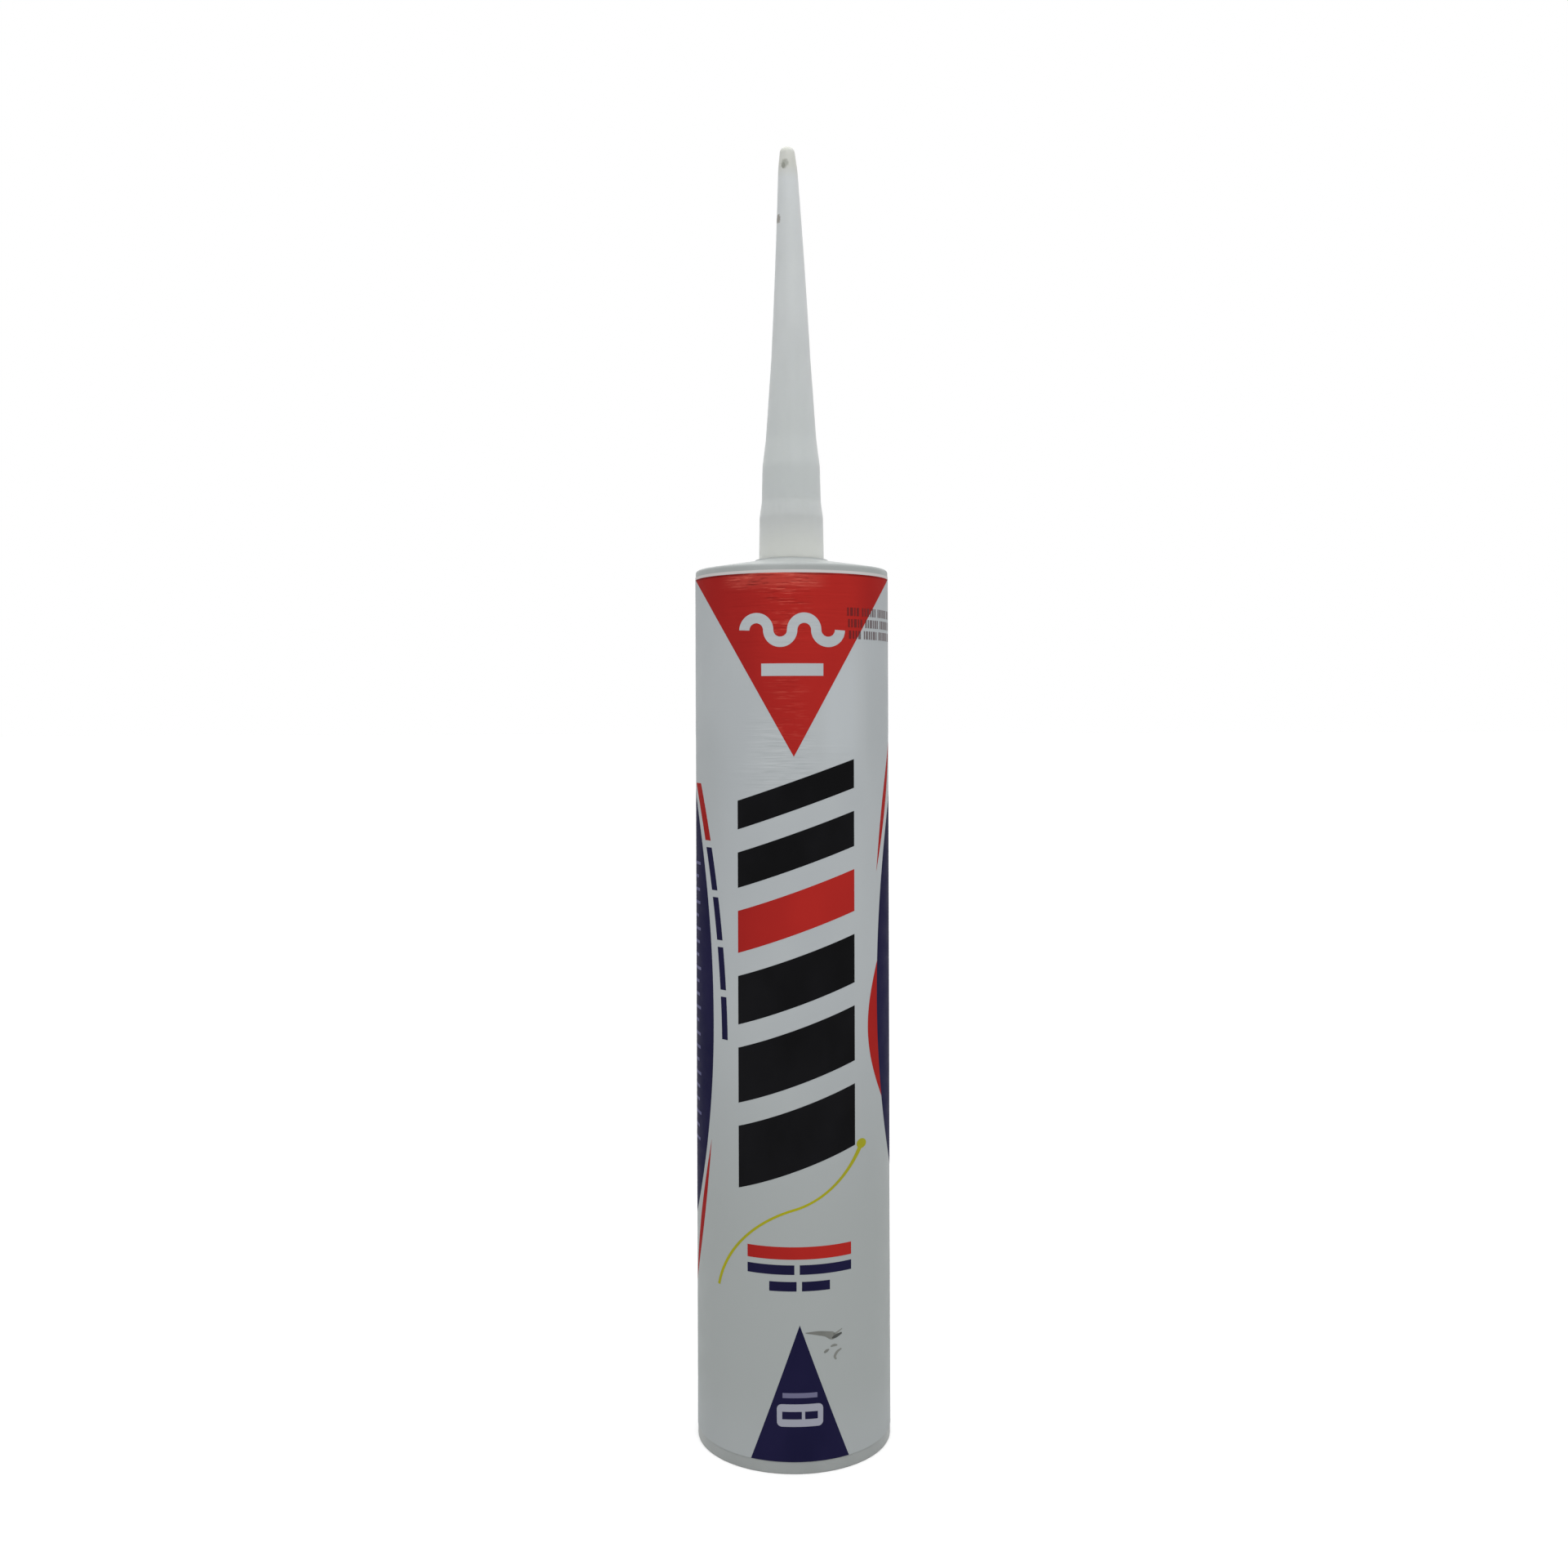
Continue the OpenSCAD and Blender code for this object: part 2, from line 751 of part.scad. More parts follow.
module navy_print() {
    color(navy_ink)
    intersection() {
        ring(film_r, label_r);
        navy_fields();
    }
}

module black_print() {
    color(black_ink)
    intersection() {
        ring(film_r, label_r);
        black_fields();
    }
}

module yellow_print() {
    color(yellow_ink)
    intersection() {
        ring(film_r, label_r);
        yellow_fields();
    }
}

// Film round the barrel, with the step of the overlap where it meets itself
module label_film() {
    overlap = overlap_w / label_r * 180 / PI;
    color(film_white)
    union() {
        ring(barrel_r, film_r);
        rotate([0, 0, overlap_angle - 90])
        translate([0, 0, film_low])
        rotate_extrude(angle = overlap)
            translate([film_r - film_t / 2, 0])
                square([film_t / 2 + ink_t, film_top - film_low]);
    }
}

barrel();
nozzle();
piston();
sealant();
label_film();
red_print();
navy_print();
black_print();
yellow_print();
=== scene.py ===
"""Looks of a caulk tube: barrel, nozzle, piston, sealant, label film and its print.

Lengths in the shape functions are millimetres, and put_mesh turns them into metres. Materials use metres,
apart from the places and sizes of stains. The cartridge stands on its rear rim at z = 0 with its axis on
Z, and the front of the label faces -Y.
"""
import math

import bmesh
import bpy
import numpy as np
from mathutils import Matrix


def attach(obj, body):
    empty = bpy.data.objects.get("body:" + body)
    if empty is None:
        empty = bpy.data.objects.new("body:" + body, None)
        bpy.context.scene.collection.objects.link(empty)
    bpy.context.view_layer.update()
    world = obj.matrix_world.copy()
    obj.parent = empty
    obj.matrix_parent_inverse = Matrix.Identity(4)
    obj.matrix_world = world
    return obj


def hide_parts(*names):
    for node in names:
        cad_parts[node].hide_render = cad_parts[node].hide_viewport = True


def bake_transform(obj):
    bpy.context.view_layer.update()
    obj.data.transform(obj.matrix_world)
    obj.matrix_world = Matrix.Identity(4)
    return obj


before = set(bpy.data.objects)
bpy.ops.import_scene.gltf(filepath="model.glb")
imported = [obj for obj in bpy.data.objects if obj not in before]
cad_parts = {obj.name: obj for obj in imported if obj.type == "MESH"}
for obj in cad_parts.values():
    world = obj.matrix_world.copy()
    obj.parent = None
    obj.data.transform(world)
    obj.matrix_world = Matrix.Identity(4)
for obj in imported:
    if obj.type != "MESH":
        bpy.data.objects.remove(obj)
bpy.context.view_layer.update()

MM = 0.001

# Sizes of the barrel, as in the solids
BARREL_R = 24.5
BORE_R = 23.3
BARREL_LEN = 219.6
RIM = 0.9
SLOPE = math.tan(math.radians(9.5))
SHOULDER = 1.6
ENTRY_R = BORE_R + 0.15
ENTRY_LEN = 15.0
ENTRY_CONE = 2.0
LEAD_IN = 0.25
LEAD_IN_LEN = 1.2
SEAT_R = 9.3
SEAT_H = 0.4
SEAT_Z = BARREL_LEN + (BARREL_R - RIM - SEAT_R) * SLOPE + SEAT_H
NECK_R = 6.5
NECK_BORE = 5.2
NECK_TOP = SEAT_Z + 12.4
NECK_BORE_TOP = NECK_TOP - 1.5
CUT_TIP_R = 4.2
CUT_TIP_END = 3.6
CUT_TIP_WALL = 1.0
TIP_TOP = NECK_TOP + 5.0

# Sizes of the nozzle, the piston and the sealant
NOZZLE_LEN = 105.8
PISTON_Z = 21.0
PISTON_H = 16.0
PISTON_R = 22.55
PISTON_WALL = 1.2
LIP_R = BORE_R - 0.05
LIP_H = 1.4
LIP_SLOPE = 0.8
FACE_EDGE = BORE_R - 0.85
FACE_T = 1.4
RIB_H = 3.0
RIBS = 8
HUB_R = 5.5
HUB_BORE = 4.3
FILL_GAP = 0.3
FILL_CLEAR = 0.02

# Radii of the label's layers, and its places
UNDER_R = 24.58
FILM_R = 24.6
INK_R = 24.62
OVER_R = 24.635
TOP_R = 24.65
OVERLAP_START = 146.0
OVERLAP_END = 162.3
FILM_LOW = 3.0
FILM_TOP = 217.8
PRINT_LOW = FILM_LOW
PRINT_TOP = FILM_TOP - 0.7
CROWN_APEX = PRINT_TOP - 44.4
GORE_X = 1.3
PLATE_Z = PRINT_LOW + 11.2
PANEL_R_UP = 330.0
PANEL_R_LOW = 262.0
LEFT_REACH = 5.0
LEFT_MID = 107.0
RIGHT_REACH = 3.9
RIGHT_MID = 113.0
DASH_LOW = 103.4
DASH_STEP = 12.1


def rounded_profile(corners, arc_steps=5, run_steps=8):
    """Profile in (r, z) through corners given as r, z and a radius of rounding.

    Each inner corner B gives way to the parabola (1-s)^2 A + 2 s (1-s) B + s^2 C, where A and C lie on
    its two sides at the tangent length, the radius times the tangent of half the turn. The straight runs
    between them are divided at 0.5 - 0.5 cos(pi k / n), which gathers points at their ends and keeps
    their shading flat.
    """
    corners = np.array(corners, float)
    p, radius = corners[:, :2], corners[1:-1, 2:]
    side = np.diff(p, axis=0)
    way = side / np.linalg.norm(side, axis=1, keepdims=True)
    before, after = way[:-1], way[1:]
    turn = np.arccos(np.clip((before * after).sum(1, keepdims=True), -1, 1))
    reach = radius * np.tan(turn / 2)
    a, b, c = p[1:-1] - reach * before, p[1:-1], p[1:-1] + reach * after
    s = np.linspace(0, 1, arc_steps + 1)[None, :, None]
    arcs = (1 - s) ** 2 * a[:, None] + 2 * s * (1 - s) * b[:, None] + s**2 * c[:, None]
    share = (0.5 - 0.5 * np.cos(np.pi * np.arange(1, run_steps) / run_steps))[None, :, None]
    starts = np.concatenate([p[:1], c])[:, None]
    ends = np.concatenate([a, p[-1:]])[:, None]
    runs = starts + (ends - starts) * share
    inner = np.concatenate([arcs, runs[1:]], axis=1).reshape(-1, 2)
    return np.concatenate([p[:1], runs[0], inner, p[-1:]])


def grid_quads(rows, cols, wrap=False):
    """Quads between neighbours on a grid of points stored row by row. wrap closes each row to a ring."""
    i = np.arange(rows - 1)[:, None] * cols
    j = np.arange(cols if wrap else cols - 1)[None, :]
    k = (j + 1) % cols
    return np.stack([i + j, i + k, i + cols + k, i + cols + j], axis=-1).reshape(-1, 4)


def lathe(profile, segments):
    """Profile carried round the axis: x = r cos a, y = r sin a, z = z, for a from 0 to a full turn."""
    a = np.linspace(0, 2 * np.pi, segments, endpoint=False)
    r, z = profile[:, :1], profile[:, 1:]
    points = np.stack([r * np.cos(a), r * np.sin(a), z + 0 * a], axis=-1)
    return points.reshape(-1, 3), grid_quads(len(profile), segments, wrap=True)


def square_tube(points):
    """Closed bar through rings of four points, with both its ends capped."""
    rings = len(points)
    last = (rings - 1) * 4
    caps = np.array([[3, 2, 1, 0], [last, last + 1, last + 2, last + 3]])
    return points.reshape(-1, 3), np.concatenate([grid_quads(rings, 4, wrap=True), caps])


def helix_ridge(root, crest, foot, top, pitch, turns, z0, step=48, fade=0.33, least=0.1):
    """Ridge of a thread: a trapezoid carried round the axis, rising by the pitch in each turn.

    Its crest's radius is b + (crest - b) g, where b is the root and the least height. g grows from 0 to 1
    over the first part of a turn and falls back to 0 over the last, so both ends sink into the neck.
    """
    t = np.arange(int(turns * step) + 1) / step
    grow = np.clip(np.minimum(t, turns - t) / fade, 0, 1)
    top_r = root + least + (crest - root - least) * grow
    r = np.stack([root + 0 * t, top_r, top_r, root + 0 * t], axis=1)
    dz = np.array([-foot / 2, -top / 2, top / 2, foot / 2])[None, :]
    a = 2 * np.pi * t[:, None] + math.radians(3)
    return square_tube(np.stack([r * np.cos(a), r * np.sin(a), z0 + pitch * t[:, None] + dz], axis=-1))


def angle_at(x):
    """Angle from the front, in degrees, of the place on the label that is x to the right of the axis."""
    return np.degrees(np.arcsin(np.clip(np.asarray(x, float) / TOP_R, -1, 1)))


def on_barrel(angle, z):
    """Sheet of points on a cylinder of radius 1: x = sin angle, y = -cos angle, with angles in degrees."""
    a, z = np.broadcast_arrays(np.radians(angle), z)
    return np.stack([np.sin(a), -np.cos(a), z], axis=-1)


def shell_of(sheet, outer):
    """Closed shell of such a sheet: a copy at the outer radius, one just inside the film, and walls."""
    rows, cols = sheet.shape[:2]
    points = np.concatenate([(sheet * [r, r, 1]).reshape(-1, 3) for r in (outer, UNDER_R)])
    n = rows * cols
    place = np.arange(n).reshape(rows, cols)
    rim = np.concatenate([place[0], place[1:, -1], place[-1, -2::-1], place[-2:0:-1, 0]])
    ahead = np.roll(rim, -1)
    walls = np.stack([ahead, rim, rim + n, ahead + n], axis=1)
    top = grid_quads(rows, cols)
    return points, np.concatenate([top, top[:, ::-1] + n, walls])


def wrap_patch(left, right, z, outer, cols=None):
    """Closed patch of print between two edges, given as angles at each height: a point at (u, v) has the
    angle left(v) + (right(v) - left(v)) u and the height z(v). Without a count, its columns are at
    most 0.9 degrees wide."""
    left, right, z = np.broadcast_arrays(left, right, z)
    cols = cols or max(3, math.ceil(np.max(right - left) / 0.9)) + 1
    u = np.linspace(0, 1, cols)
    return shell_of(on_barrel(left[:, None] + (right - left)[:, None] * u, z[:, None]), outer)


def joined(parts):
    """One list of points and quads out of several."""
    starts = np.cumsum([0] + [len(points) for points, _ in parts[:-1]])
    quads = [quads + start for (_, quads), start in zip(parts, starts)]
    return np.concatenate([points for points, _ in parts]), np.concatenate(quads)


def put_mesh(name, parts, material, body, replaced=(), sharp=40):
    """Object made of parts, with doubles merged, faces outwards and edges sharper than an angle kept
    sharp. The body is None for a piece that is blended between two bodies."""
    points, quads = joined(parts)
    mesh = bpy.data.meshes.new(name)
    mesh.from_pydata((points * MM).tolist(), [], quads.tolist())
    work = bmesh.new()
    work.from_mesh(mesh)
    bmesh.ops.remove_doubles(work, verts=work.verts, dist=1e-6)
    bmesh.ops.dissolve_degenerate(work, edges=work.edges, dist=1e-7)
    bmesh.ops.recalc_face_normals(work, faces=work.faces)
    work.to_mesh(mesh)
    work.free()
    mesh.polygons.foreach_set("use_smooth", np.ones(len(mesh.polygons), bool))
    mesh.set_sharp_from_angle(angle=math.radians(sharp))
    mesh.materials.append(material)
    obj = bpy.data.objects.new(name, mesh)
    bpy.context.scene.collection.objects.link(obj)
    if body:
        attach(obj, body)
    if replaced:
        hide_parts(*replaced)
    return obj


# Materials
def srgb(r, g, b):
    """Linear colour from screen values of 0 to 255."""
    c = np.array([r, g, b]) / 255
    lin = np.where(c <= 0.04045, c / 12.92, ((c + 0.055) / 1.055) ** 2.4)
    return (*lin.tolist(), 1.0)


class Finish:
    """A material on a Principled shader, with short calls for the nodes that its finish is made of."""

    def __init__(self, name, roughness=0.5, specular=0.2):
        self.material = bpy.data.materials.new(name)
        self.material.use_nodes = True
        self.nodes = self.material.node_tree.nodes
        self.links = self.material.node_tree.links
        self.shader = self.nodes["Principled BSDF"]
        self.shader.inputs["Roughness"].default_value = roughness
        self.shader.inputs["Specular IOR Level"].default_value = specular
        coordinates = self.nodes.new("ShaderNodeTexCoord")
        self.place = coordinates.outputs["Object"]
        split = self.nodes.new("ShaderNodeSeparateXYZ")
        self.links.new(self.place, split.inputs[0])
        self.x, self.y, self.z = split.outputs

    def feed(self, socket, value):
        """Set a socket to a number or colour, or link it to another node's output."""
        if isinstance(value, (int, float, tuple)):
            socket.default_value = value
        else:
            self.links.new(value, socket)

    def math(self, kind, a, b=0.0, c=0.0):
        """Result of a Math node of that kind."""
        node = self.nodes.new("ShaderNodeMath")
        node.operation = kind
        for socket, value in zip(node.inputs, (a, b, c)):
            self.feed(socket, value)
        return node.outputs[0]

    def product(self, first, *others):
        """Several values multiplied together."""
        for value in others:
            first = self.math("MULTIPLY", first, value)
        return first

    def noise(self, scale, stretch=(1, 1, 1), detail=3.0, rough=0.5, shift=(0, 0, 0)):
        """Noise from 0 to 1 on Object coordinates, with scale cells to a metre before the stretch."""
        mapping = self.nodes.new("ShaderNodeMapping")
        mapping.inputs["Location"].default_value = shift
        mapping.inputs["Scale"].default_value = stretch
        self.links.new(self.place, mapping.inputs["Vector"])
        node = self.nodes.new("ShaderNodeTexNoise")
        node.inputs["Scale"].default_value = scale
        node.inputs["Detail"].default_value = detail
        node.inputs["Roughness"].default_value = rough
        self.links.new(mapping.outputs[0], node.inputs["Vector"])
        return node.outputs[0]

    def ramp(self, value, low, high, to_low=0.0, to_high=1.0):
        """Value carried smoothly from low..high to to_low..to_high, held at both ends."""
        node = self.nodes.new("ShaderNodeMapRange")
        node.interpolation_type = "SMOOTHSTEP"
        for socket, number in zip(node.inputs, (value, low, high, to_low, to_high)):
            self.feed(socket, number)
        return node.outputs[0]

    def window(self, value, rise_from, rise_to, fall_from, fall_to, depth=1.0):
        """The depth between rise_to and fall_from, 0 outside, and smooth between them."""
        rise = self.ramp(value, rise_from, rise_to, 0, depth)
        return self.product(rise, self.ramp(value, fall_from, fall_to, 1, 0))

    def mix(self, factor, a, b):
        """Colour a where the factor is 0 and b where it is 1."""
        node = self.nodes.new("ShaderNodeMix")
        node.data_type = "RGBA"
        for number, value in ((0, factor), (6, a), (7, b)):
            self.feed(node.inputs[number], value)
        return node.outputs[2]

    def spot(self, centre, size, ragged=0.5, scale=1300):
        """1 inside an ellipsoid, 0 outside, with an edge that noise makes ragged. Millimetres."""
        parts = [
            self.math("POWER", self.math("DIVIDE", self.math("SUBTRACT", axis, c * MM), s * MM), 2)
            for axis, c, s in zip((self.x, self.y, self.z), centre, size)
        ]
        far = self.math("SQRT", self.math("ADD", self.math("ADD", parts[0], parts[1]), parts[2]))
        rough = self.math("MULTIPLY_ADD", self.noise(scale), 2 * ragged, -ragged)
        return self.ramp(self.math("ADD", far, rough), 0.7, 1.15, 1, 0)

    def bump(self, height, strength, distance, under=None):
        """Normal of a relief, laid over the normal of another where one is given."""
        node = self.nodes.new("ShaderNodeBump")
        node.inputs["Strength"].default_value = strength
        node.inputs["Distance"].default_value = distance
        self.links.new(height, node.inputs["Height"])
        if under is not None:
            self.links.new(under, node.inputs["Normal"])
        return node.outputs[0]

    def finish(self, colour, roughness=None, normal=None):
        """The material, with its shader linked to what is given."""
        for value, name in ((colour, "Base Color"), (roughness, "Roughness"), (normal, "Normal")):
            if value is not None:
                self.links.new(value, self.shader.inputs[name])
        return self.material


def film_relief(f):
    """Relief of the wrap film: fine level creases in two bands at the front, and a slow unevenness."""
    creases = f.noise(1.0, stretch=(55, 55, 950), detail=2.0, rough=0.6)
    upper = f.ramp(f.z, 0.186, 0.209)
    lower = f.window(f.z, 0.160, 0.170, 0.172, 0.183, 0.6)
    front = f.ramp(f.y, -0.024, -0.016, 1, 0)
    fine = f.bump(f.product(f.math("ADD", upper, lower), front, creases), 0.55, 0.0002)
    slow = f.noise(1.0, stretch=(60, 60, 28), detail=1.0)
    return f.bump(slow, 0.25, 0.0004, under=fine)


def beside_triangle(f, white):
    """Soft light and shade of the film beside the red triangle: dark towards both sides, with a light
    patch on the right."""
    front = f.ramp(f.y, -0.006, 0, 1, 0)
    right = f.product(front, f.ramp(f.x, 0.0170, 0.0195, 0, 0.3), f.ramp(f.z, 0.160, 0.178))
    right = f.product(right, f.ramp(f.z, 0.186, 0.198, 1, 0.3))
    left = f.product(front, f.ramp(f.x, -0.0215, -0.0140, 0.35, 0))
    left = f.product(left, f.window(f.z, 0.140, 0.160, 0.172, 0.186))
    white = f.mix(f.math("ADD", right, left), white, srgb(164, 169, 171))
    light = f.product(front, f.window(f.x, 0.006, 0.010, 0.014, 0.0175, 0.35))
    light = f.product(light, f.window(f.z, 0.165, 0.178, 0.190, 0.205))
    return f.mix(light, white, srgb(192, 198, 202))


def painted_film_crease_shading(f, white):
    """Painted highlights and shade of fine level creases in the film round the red triangle's point."""
    level = f.noise(1.0, stretch=(120, 120, 2600), detail=3.0, rough=0.65)
    band = f.product(f.window(f.z, 0.162, 0.168, 0.178, 0.186), f.window(f.x, -0.014, -0.004, 0.001, 0.007))
    band = f.product(band, f.ramp(f.y, -0.020, -0.014, 1, 0))
    # Painted highlight on the peaks of the creases, then painted shade in their hollows.
    white = f.mix(f.product(f.ramp(level, 0.5, 0.66, 0, 0.3), band), white, srgb(206, 210, 212))
    return f.mix(f.product(f.ramp(level, 0.34, 0.5, 0.25, 0), band), white, srgb(140, 146, 148))


def overlap_edges(f, white):
    """Shade along the two edges of the film's overlap at the back."""
    behind = f.ramp(f.y, 0.010, 0.014)
    for turn, reach, depth in ((OVERLAP_END, 0.00025, 0.4), (OVERLAP_START, 0.0008, 0.18)):
        off = f.math("ABSOLUTE", f.math("SUBTRACT", f.x, TOP_R * MM * math.sin(math.radians(turn))))
        white = f.mix(f.product(f.ramp(off, 0.00005, reach, depth, 0), behind), white, srgb(112, 118, 120))
    return white


def film_finish():
    """White of the wrap film: two near tones, painted shade that darkens it low down, and a painted
    highlight in the margin above the print.
    """
    f = Finish("wrap film white", specular=0.05)
    tone = f.ramp(f.noise(1.0, stretch=(40, 40, 18), detail=2.0), 0.3, 0.7)
    white = f.mix(tone, srgb(176, 181, 184), srgb(181, 186, 188))
    # Painted shade: the film is darkened low down, less so at its very foot.
    low = f.product(f.ramp(f.z, 0.050, 0.125, 0.9, 0), f.ramp(f.z, 0.002, 0.022, 0.55, 1))
    white = f.mix(low, white, srgb(166, 171, 170))
    white = painted_film_crease_shading(f, beside_triangle(f, white))
    # Painted highlight: a bright strip along the film's unprinted top margin, above the print.
    white = f.mix(f.ramp(f.z, 0.21705, 0.21725, 0, 0.65), white, srgb(212, 203, 200))
    white = overlap_edges(f, white)
    rough = f.ramp(f.noise(220, detail=4), 0.3, 0.7, 0.48, 0.58)
    return f.finish(white, rough, film_relief(f))


def crease_areas(f):
    """Where the red ink gets painted light and shade of creases: along the label's upper edge, and in a
    patch below that and one above the triangle's point."""
    front = f.ramp(f.y, -0.020, -0.014, 1, 0)
    edge = f.product(f.ramp(f.z, 0.2126, 0.2150), f.window(f.x, -0.019, -0.011, 0.004, 0.010))
    patch = f.product(f.ramp(f.z, 0.199, 0.206, 0, 0.6), f.window(f.x, -0.010, -0.005, 0.001, 0.006))
    point = f.window(f.x, -0.008, -0.003, 0.001, 0.006, 0.22)
    point = f.product(point, f.window(f.z, 0.174, 0.180, 0.190, 0.198))
    return f.product(edge, front), f.product(f.math("MAXIMUM", patch, point), front)


def creased(f, tone, light, dark):
    """Painted highlights and shade of fine level creases in the creased areas: the peaks of a
    flat-stretched noise get the painted highlight, its hollows the painted shade, and a second noise
    breaks them up."""
    edge, patches = crease_areas(f)
    threads = f.noise(1.0, stretch=(150, 150, 3300), detail=3.0, rough=0.7, shift=(0.3, 0, 0.7))
    broken = f.ramp(f.noise(1.0, stretch=(230, 230, 700), detail=2.0), 0.38, 0.58)
    area = f.product(f.math("MAXIMUM", edge, patches), broken)
    # Painted highlight over the whole band along the label's upper edge.
    tone = f.mix(f.product(edge, 0.22), tone, light)
    tone = f.mix(f.product(f.ramp(threads, 0.5, 0.62, 0, 0.8), area), tone, light)
    return f.mix(f.product(f.ramp(threads, 0.38, 0.48, 0.6, 0), area), tone, dark)


def ink_drift(f):
    """Slow drift between an ink's two tones, from 0 to 1."""
    return f.ramp(f.noise(1.0, stretch=(70, 70, 40), detail=3.0), 0.3, 0.7)


def ink_surface(f, tone):
    """Surface of print: half matt, with the film's own relief."""
    rough = f.ramp(f.noise(260, detail=4), 0.3, 0.7, 0.5, 0.6)
    return f.finish(tone, rough, film_relief(f))


def ink_finish(name, colour, worn, lower=()):
    """Print of one ink, with a slow drift between two tones. Each tone in lower takes their place below a
    height, in metres."""
    f = Finish(name, specular=0.01)
    tone = f.mix(ink_drift(f), colour, worn)
    for height, dim in lower:
        tone = f.mix(f.ramp(f.z, height, height + 0.0002, 1, 0), tone, dim)
    return ink_surface(f, tone)


def red_finish():
    """Red ink: painted shade towards both sides, painted light and shade of creases in the large triangle,
    and a painted shadow along parts of its top.
    """
    f = Finish("print red", specular=0.01)
    # Painted highlight (light) and painted shade (dark) for the creases and along the top edge.
    light, dark = srgb(216, 104, 90), srgb(72, 16, 18)
    # Painted shade: besides a slow random drift, the red is pushed to its darker tone towards both sides.
    drift = f.math("MULTIPLY_ADD", ink_drift(f), 0.25, f.ramp(f.x, -0.022, 0.008, 0.75, 0))
    drift = f.math("ADD", drift, f.ramp(f.x, 0.013, 0.021, 0, 0.55))
    tone = creased(f, f.mix(drift, srgb(176, 43, 38), srgb(152, 35, 34)), light, dark)
    # Painted shadow: a broken dark line along the top edge of the red.
    places = f.ramp(f.noise(1.0, stretch=(90, 90, 10)), 0.3, 0.55, 0, 0.5)
    tone = f.mix(f.product(f.ramp(f.z, 0.21650, 0.21675), places), tone, dark)
    return ink_surface(f, tone)


def jetted_finish():
    """Thin jetted ink: dark red where it lies on the red triangle, grey beyond the triangle's right edge,
    where x = 0.3 + 0.543 (z - 172.7) in millimetres."""
    f = Finish("jetted code grey", roughness=0.42, specular=0.1)
    beyond = f.math("MULTIPLY_ADD", f.z, -0.543, f.math("ADD", f.x, 0.0935))
    return f.finish(f.mix(f.ramp(beyond, -0.0001, 0.0001), srgb(108, 28, 28), srgb(104, 94, 96)))


def nozzle_shade_and_tints(f, colour):
    """The nozzle's colours: painted shade in a duller band above the collar, a lighter skirt, a yellower
    tip, and stains.
    """
    # Painted shade: a duller band over the lower nozzle, above the collar.
    colour = f.mix(f.window(f.z, 0.228, 0.242, 0.248, 0.285), colour, srgb(193, 198, 198))
    colour = f.mix(f.ramp(f.z, 0.224, 0.234, 0.9, 0), colour, srgb(214, 217, 212))
    colour = f.mix(f.ramp(f.z, 0.319, 0.324, 0, 0.9), colour, srgb(193, 194, 187))
    stains = (
        ((-1.45, -2.3, 323.4), (1.0, 1.6, 1.4), 0.85, srgb(158, 160, 152)),
        ((-1.75, -2.3, 323.0), (0.5, 1.6, 0.8), 0.8, srgb(136, 138, 130)),
        ((-3.0, -1.2, 309.4), (0.9, 1.4, 1.2), 0.8, srgb(128, 122, 112)),
    )
    for centre, size, depth, stain in stains:
        colour = f.mix(f.product(f.spot(centre, size), depth), colour, stain)
    return colour


def moulded_finish(name, light, shade, roughness=(0.4, 0.5), inner_light=0.08, tints=None):
    """Moulded polyethylene, or paste: two near tones, tints and painted shade if given, and a fine
    orange-peel relief.
    """
    f = Finish(name)
    f.shader.inputs["Subsurface Weight"].default_value = inner_light
    f.shader.inputs["Subsurface Radius"].default_value = (0.003, 0.003, 0.0032)
    f.shader.inputs["Subsurface Scale"].default_value = 1.0
    colour = f.mix(f.ramp(f.noise(1.0, stretch=(90, 90, 45), detail=3.0), 0.3, 0.7), light, shade)
    if tints:
        colour = tints(f, colour)
    rough = f.ramp(f.noise(300, detail=4), 0.3, 0.7, *roughness)
    peel = f.bump(f.noise(1400, detail=2), 0.12, 0.00006)
    slow = f.noise(1.0, stretch=(120, 120, 50), detail=2)
    return f.finish(colour, rough, f.bump(slow, 0.15, 0.0003, under=peel))


FILM = film_finish()
RED = red_finish()
NAVY = ink_finish("print navy", srgb(33, 31, 62), srgb(28, 27, 56))
BLACK = ink_finish("print black", srgb(25, 25, 27), srgb(19, 19, 20))
YELLOW = ink_finish("print yellow", srgb(168, 164, 34), srgb(150, 150, 52))
DIMMER = ((0.040, srgb(112, 111, 138)), (0.0175, srgb(160, 162, 174)))
WHITE = ink_finish("print white", srgb(182, 187, 190), srgb(176, 181, 184), lower=DIMMER)
PALE = ink_finish("print pale", srgb(112, 112, 142), srgb(92, 92, 124))
JETTED = jetted_finish()
SCUFF = ink_finish("scuff grey", srgb(150, 152, 147), srgb(112, 114, 110))
SCUFF_DARK = ink_finish("scuff dark", srgb(92, 94, 92), srgb(70, 72, 70))
BARREL = moulded_finish("barrel polyethylene", srgb(164, 168, 167), srgb(158, 162, 161))
NOZZLE = moulded_finish(
    "nozzle polyethylene", srgb(200, 204, 205), srgb(195, 199, 200), inner_light=0.9, tints=nozzle_shade_and_tints
)
PISTON = moulded_finish("piston polyethylene", srgb(214, 216, 214), srgb(206, 208, 206))
PASTE = moulded_finish("sealant paste", srgb(226, 226, 220), srgb(220, 220, 214), roughness=(0.3, 0.4))


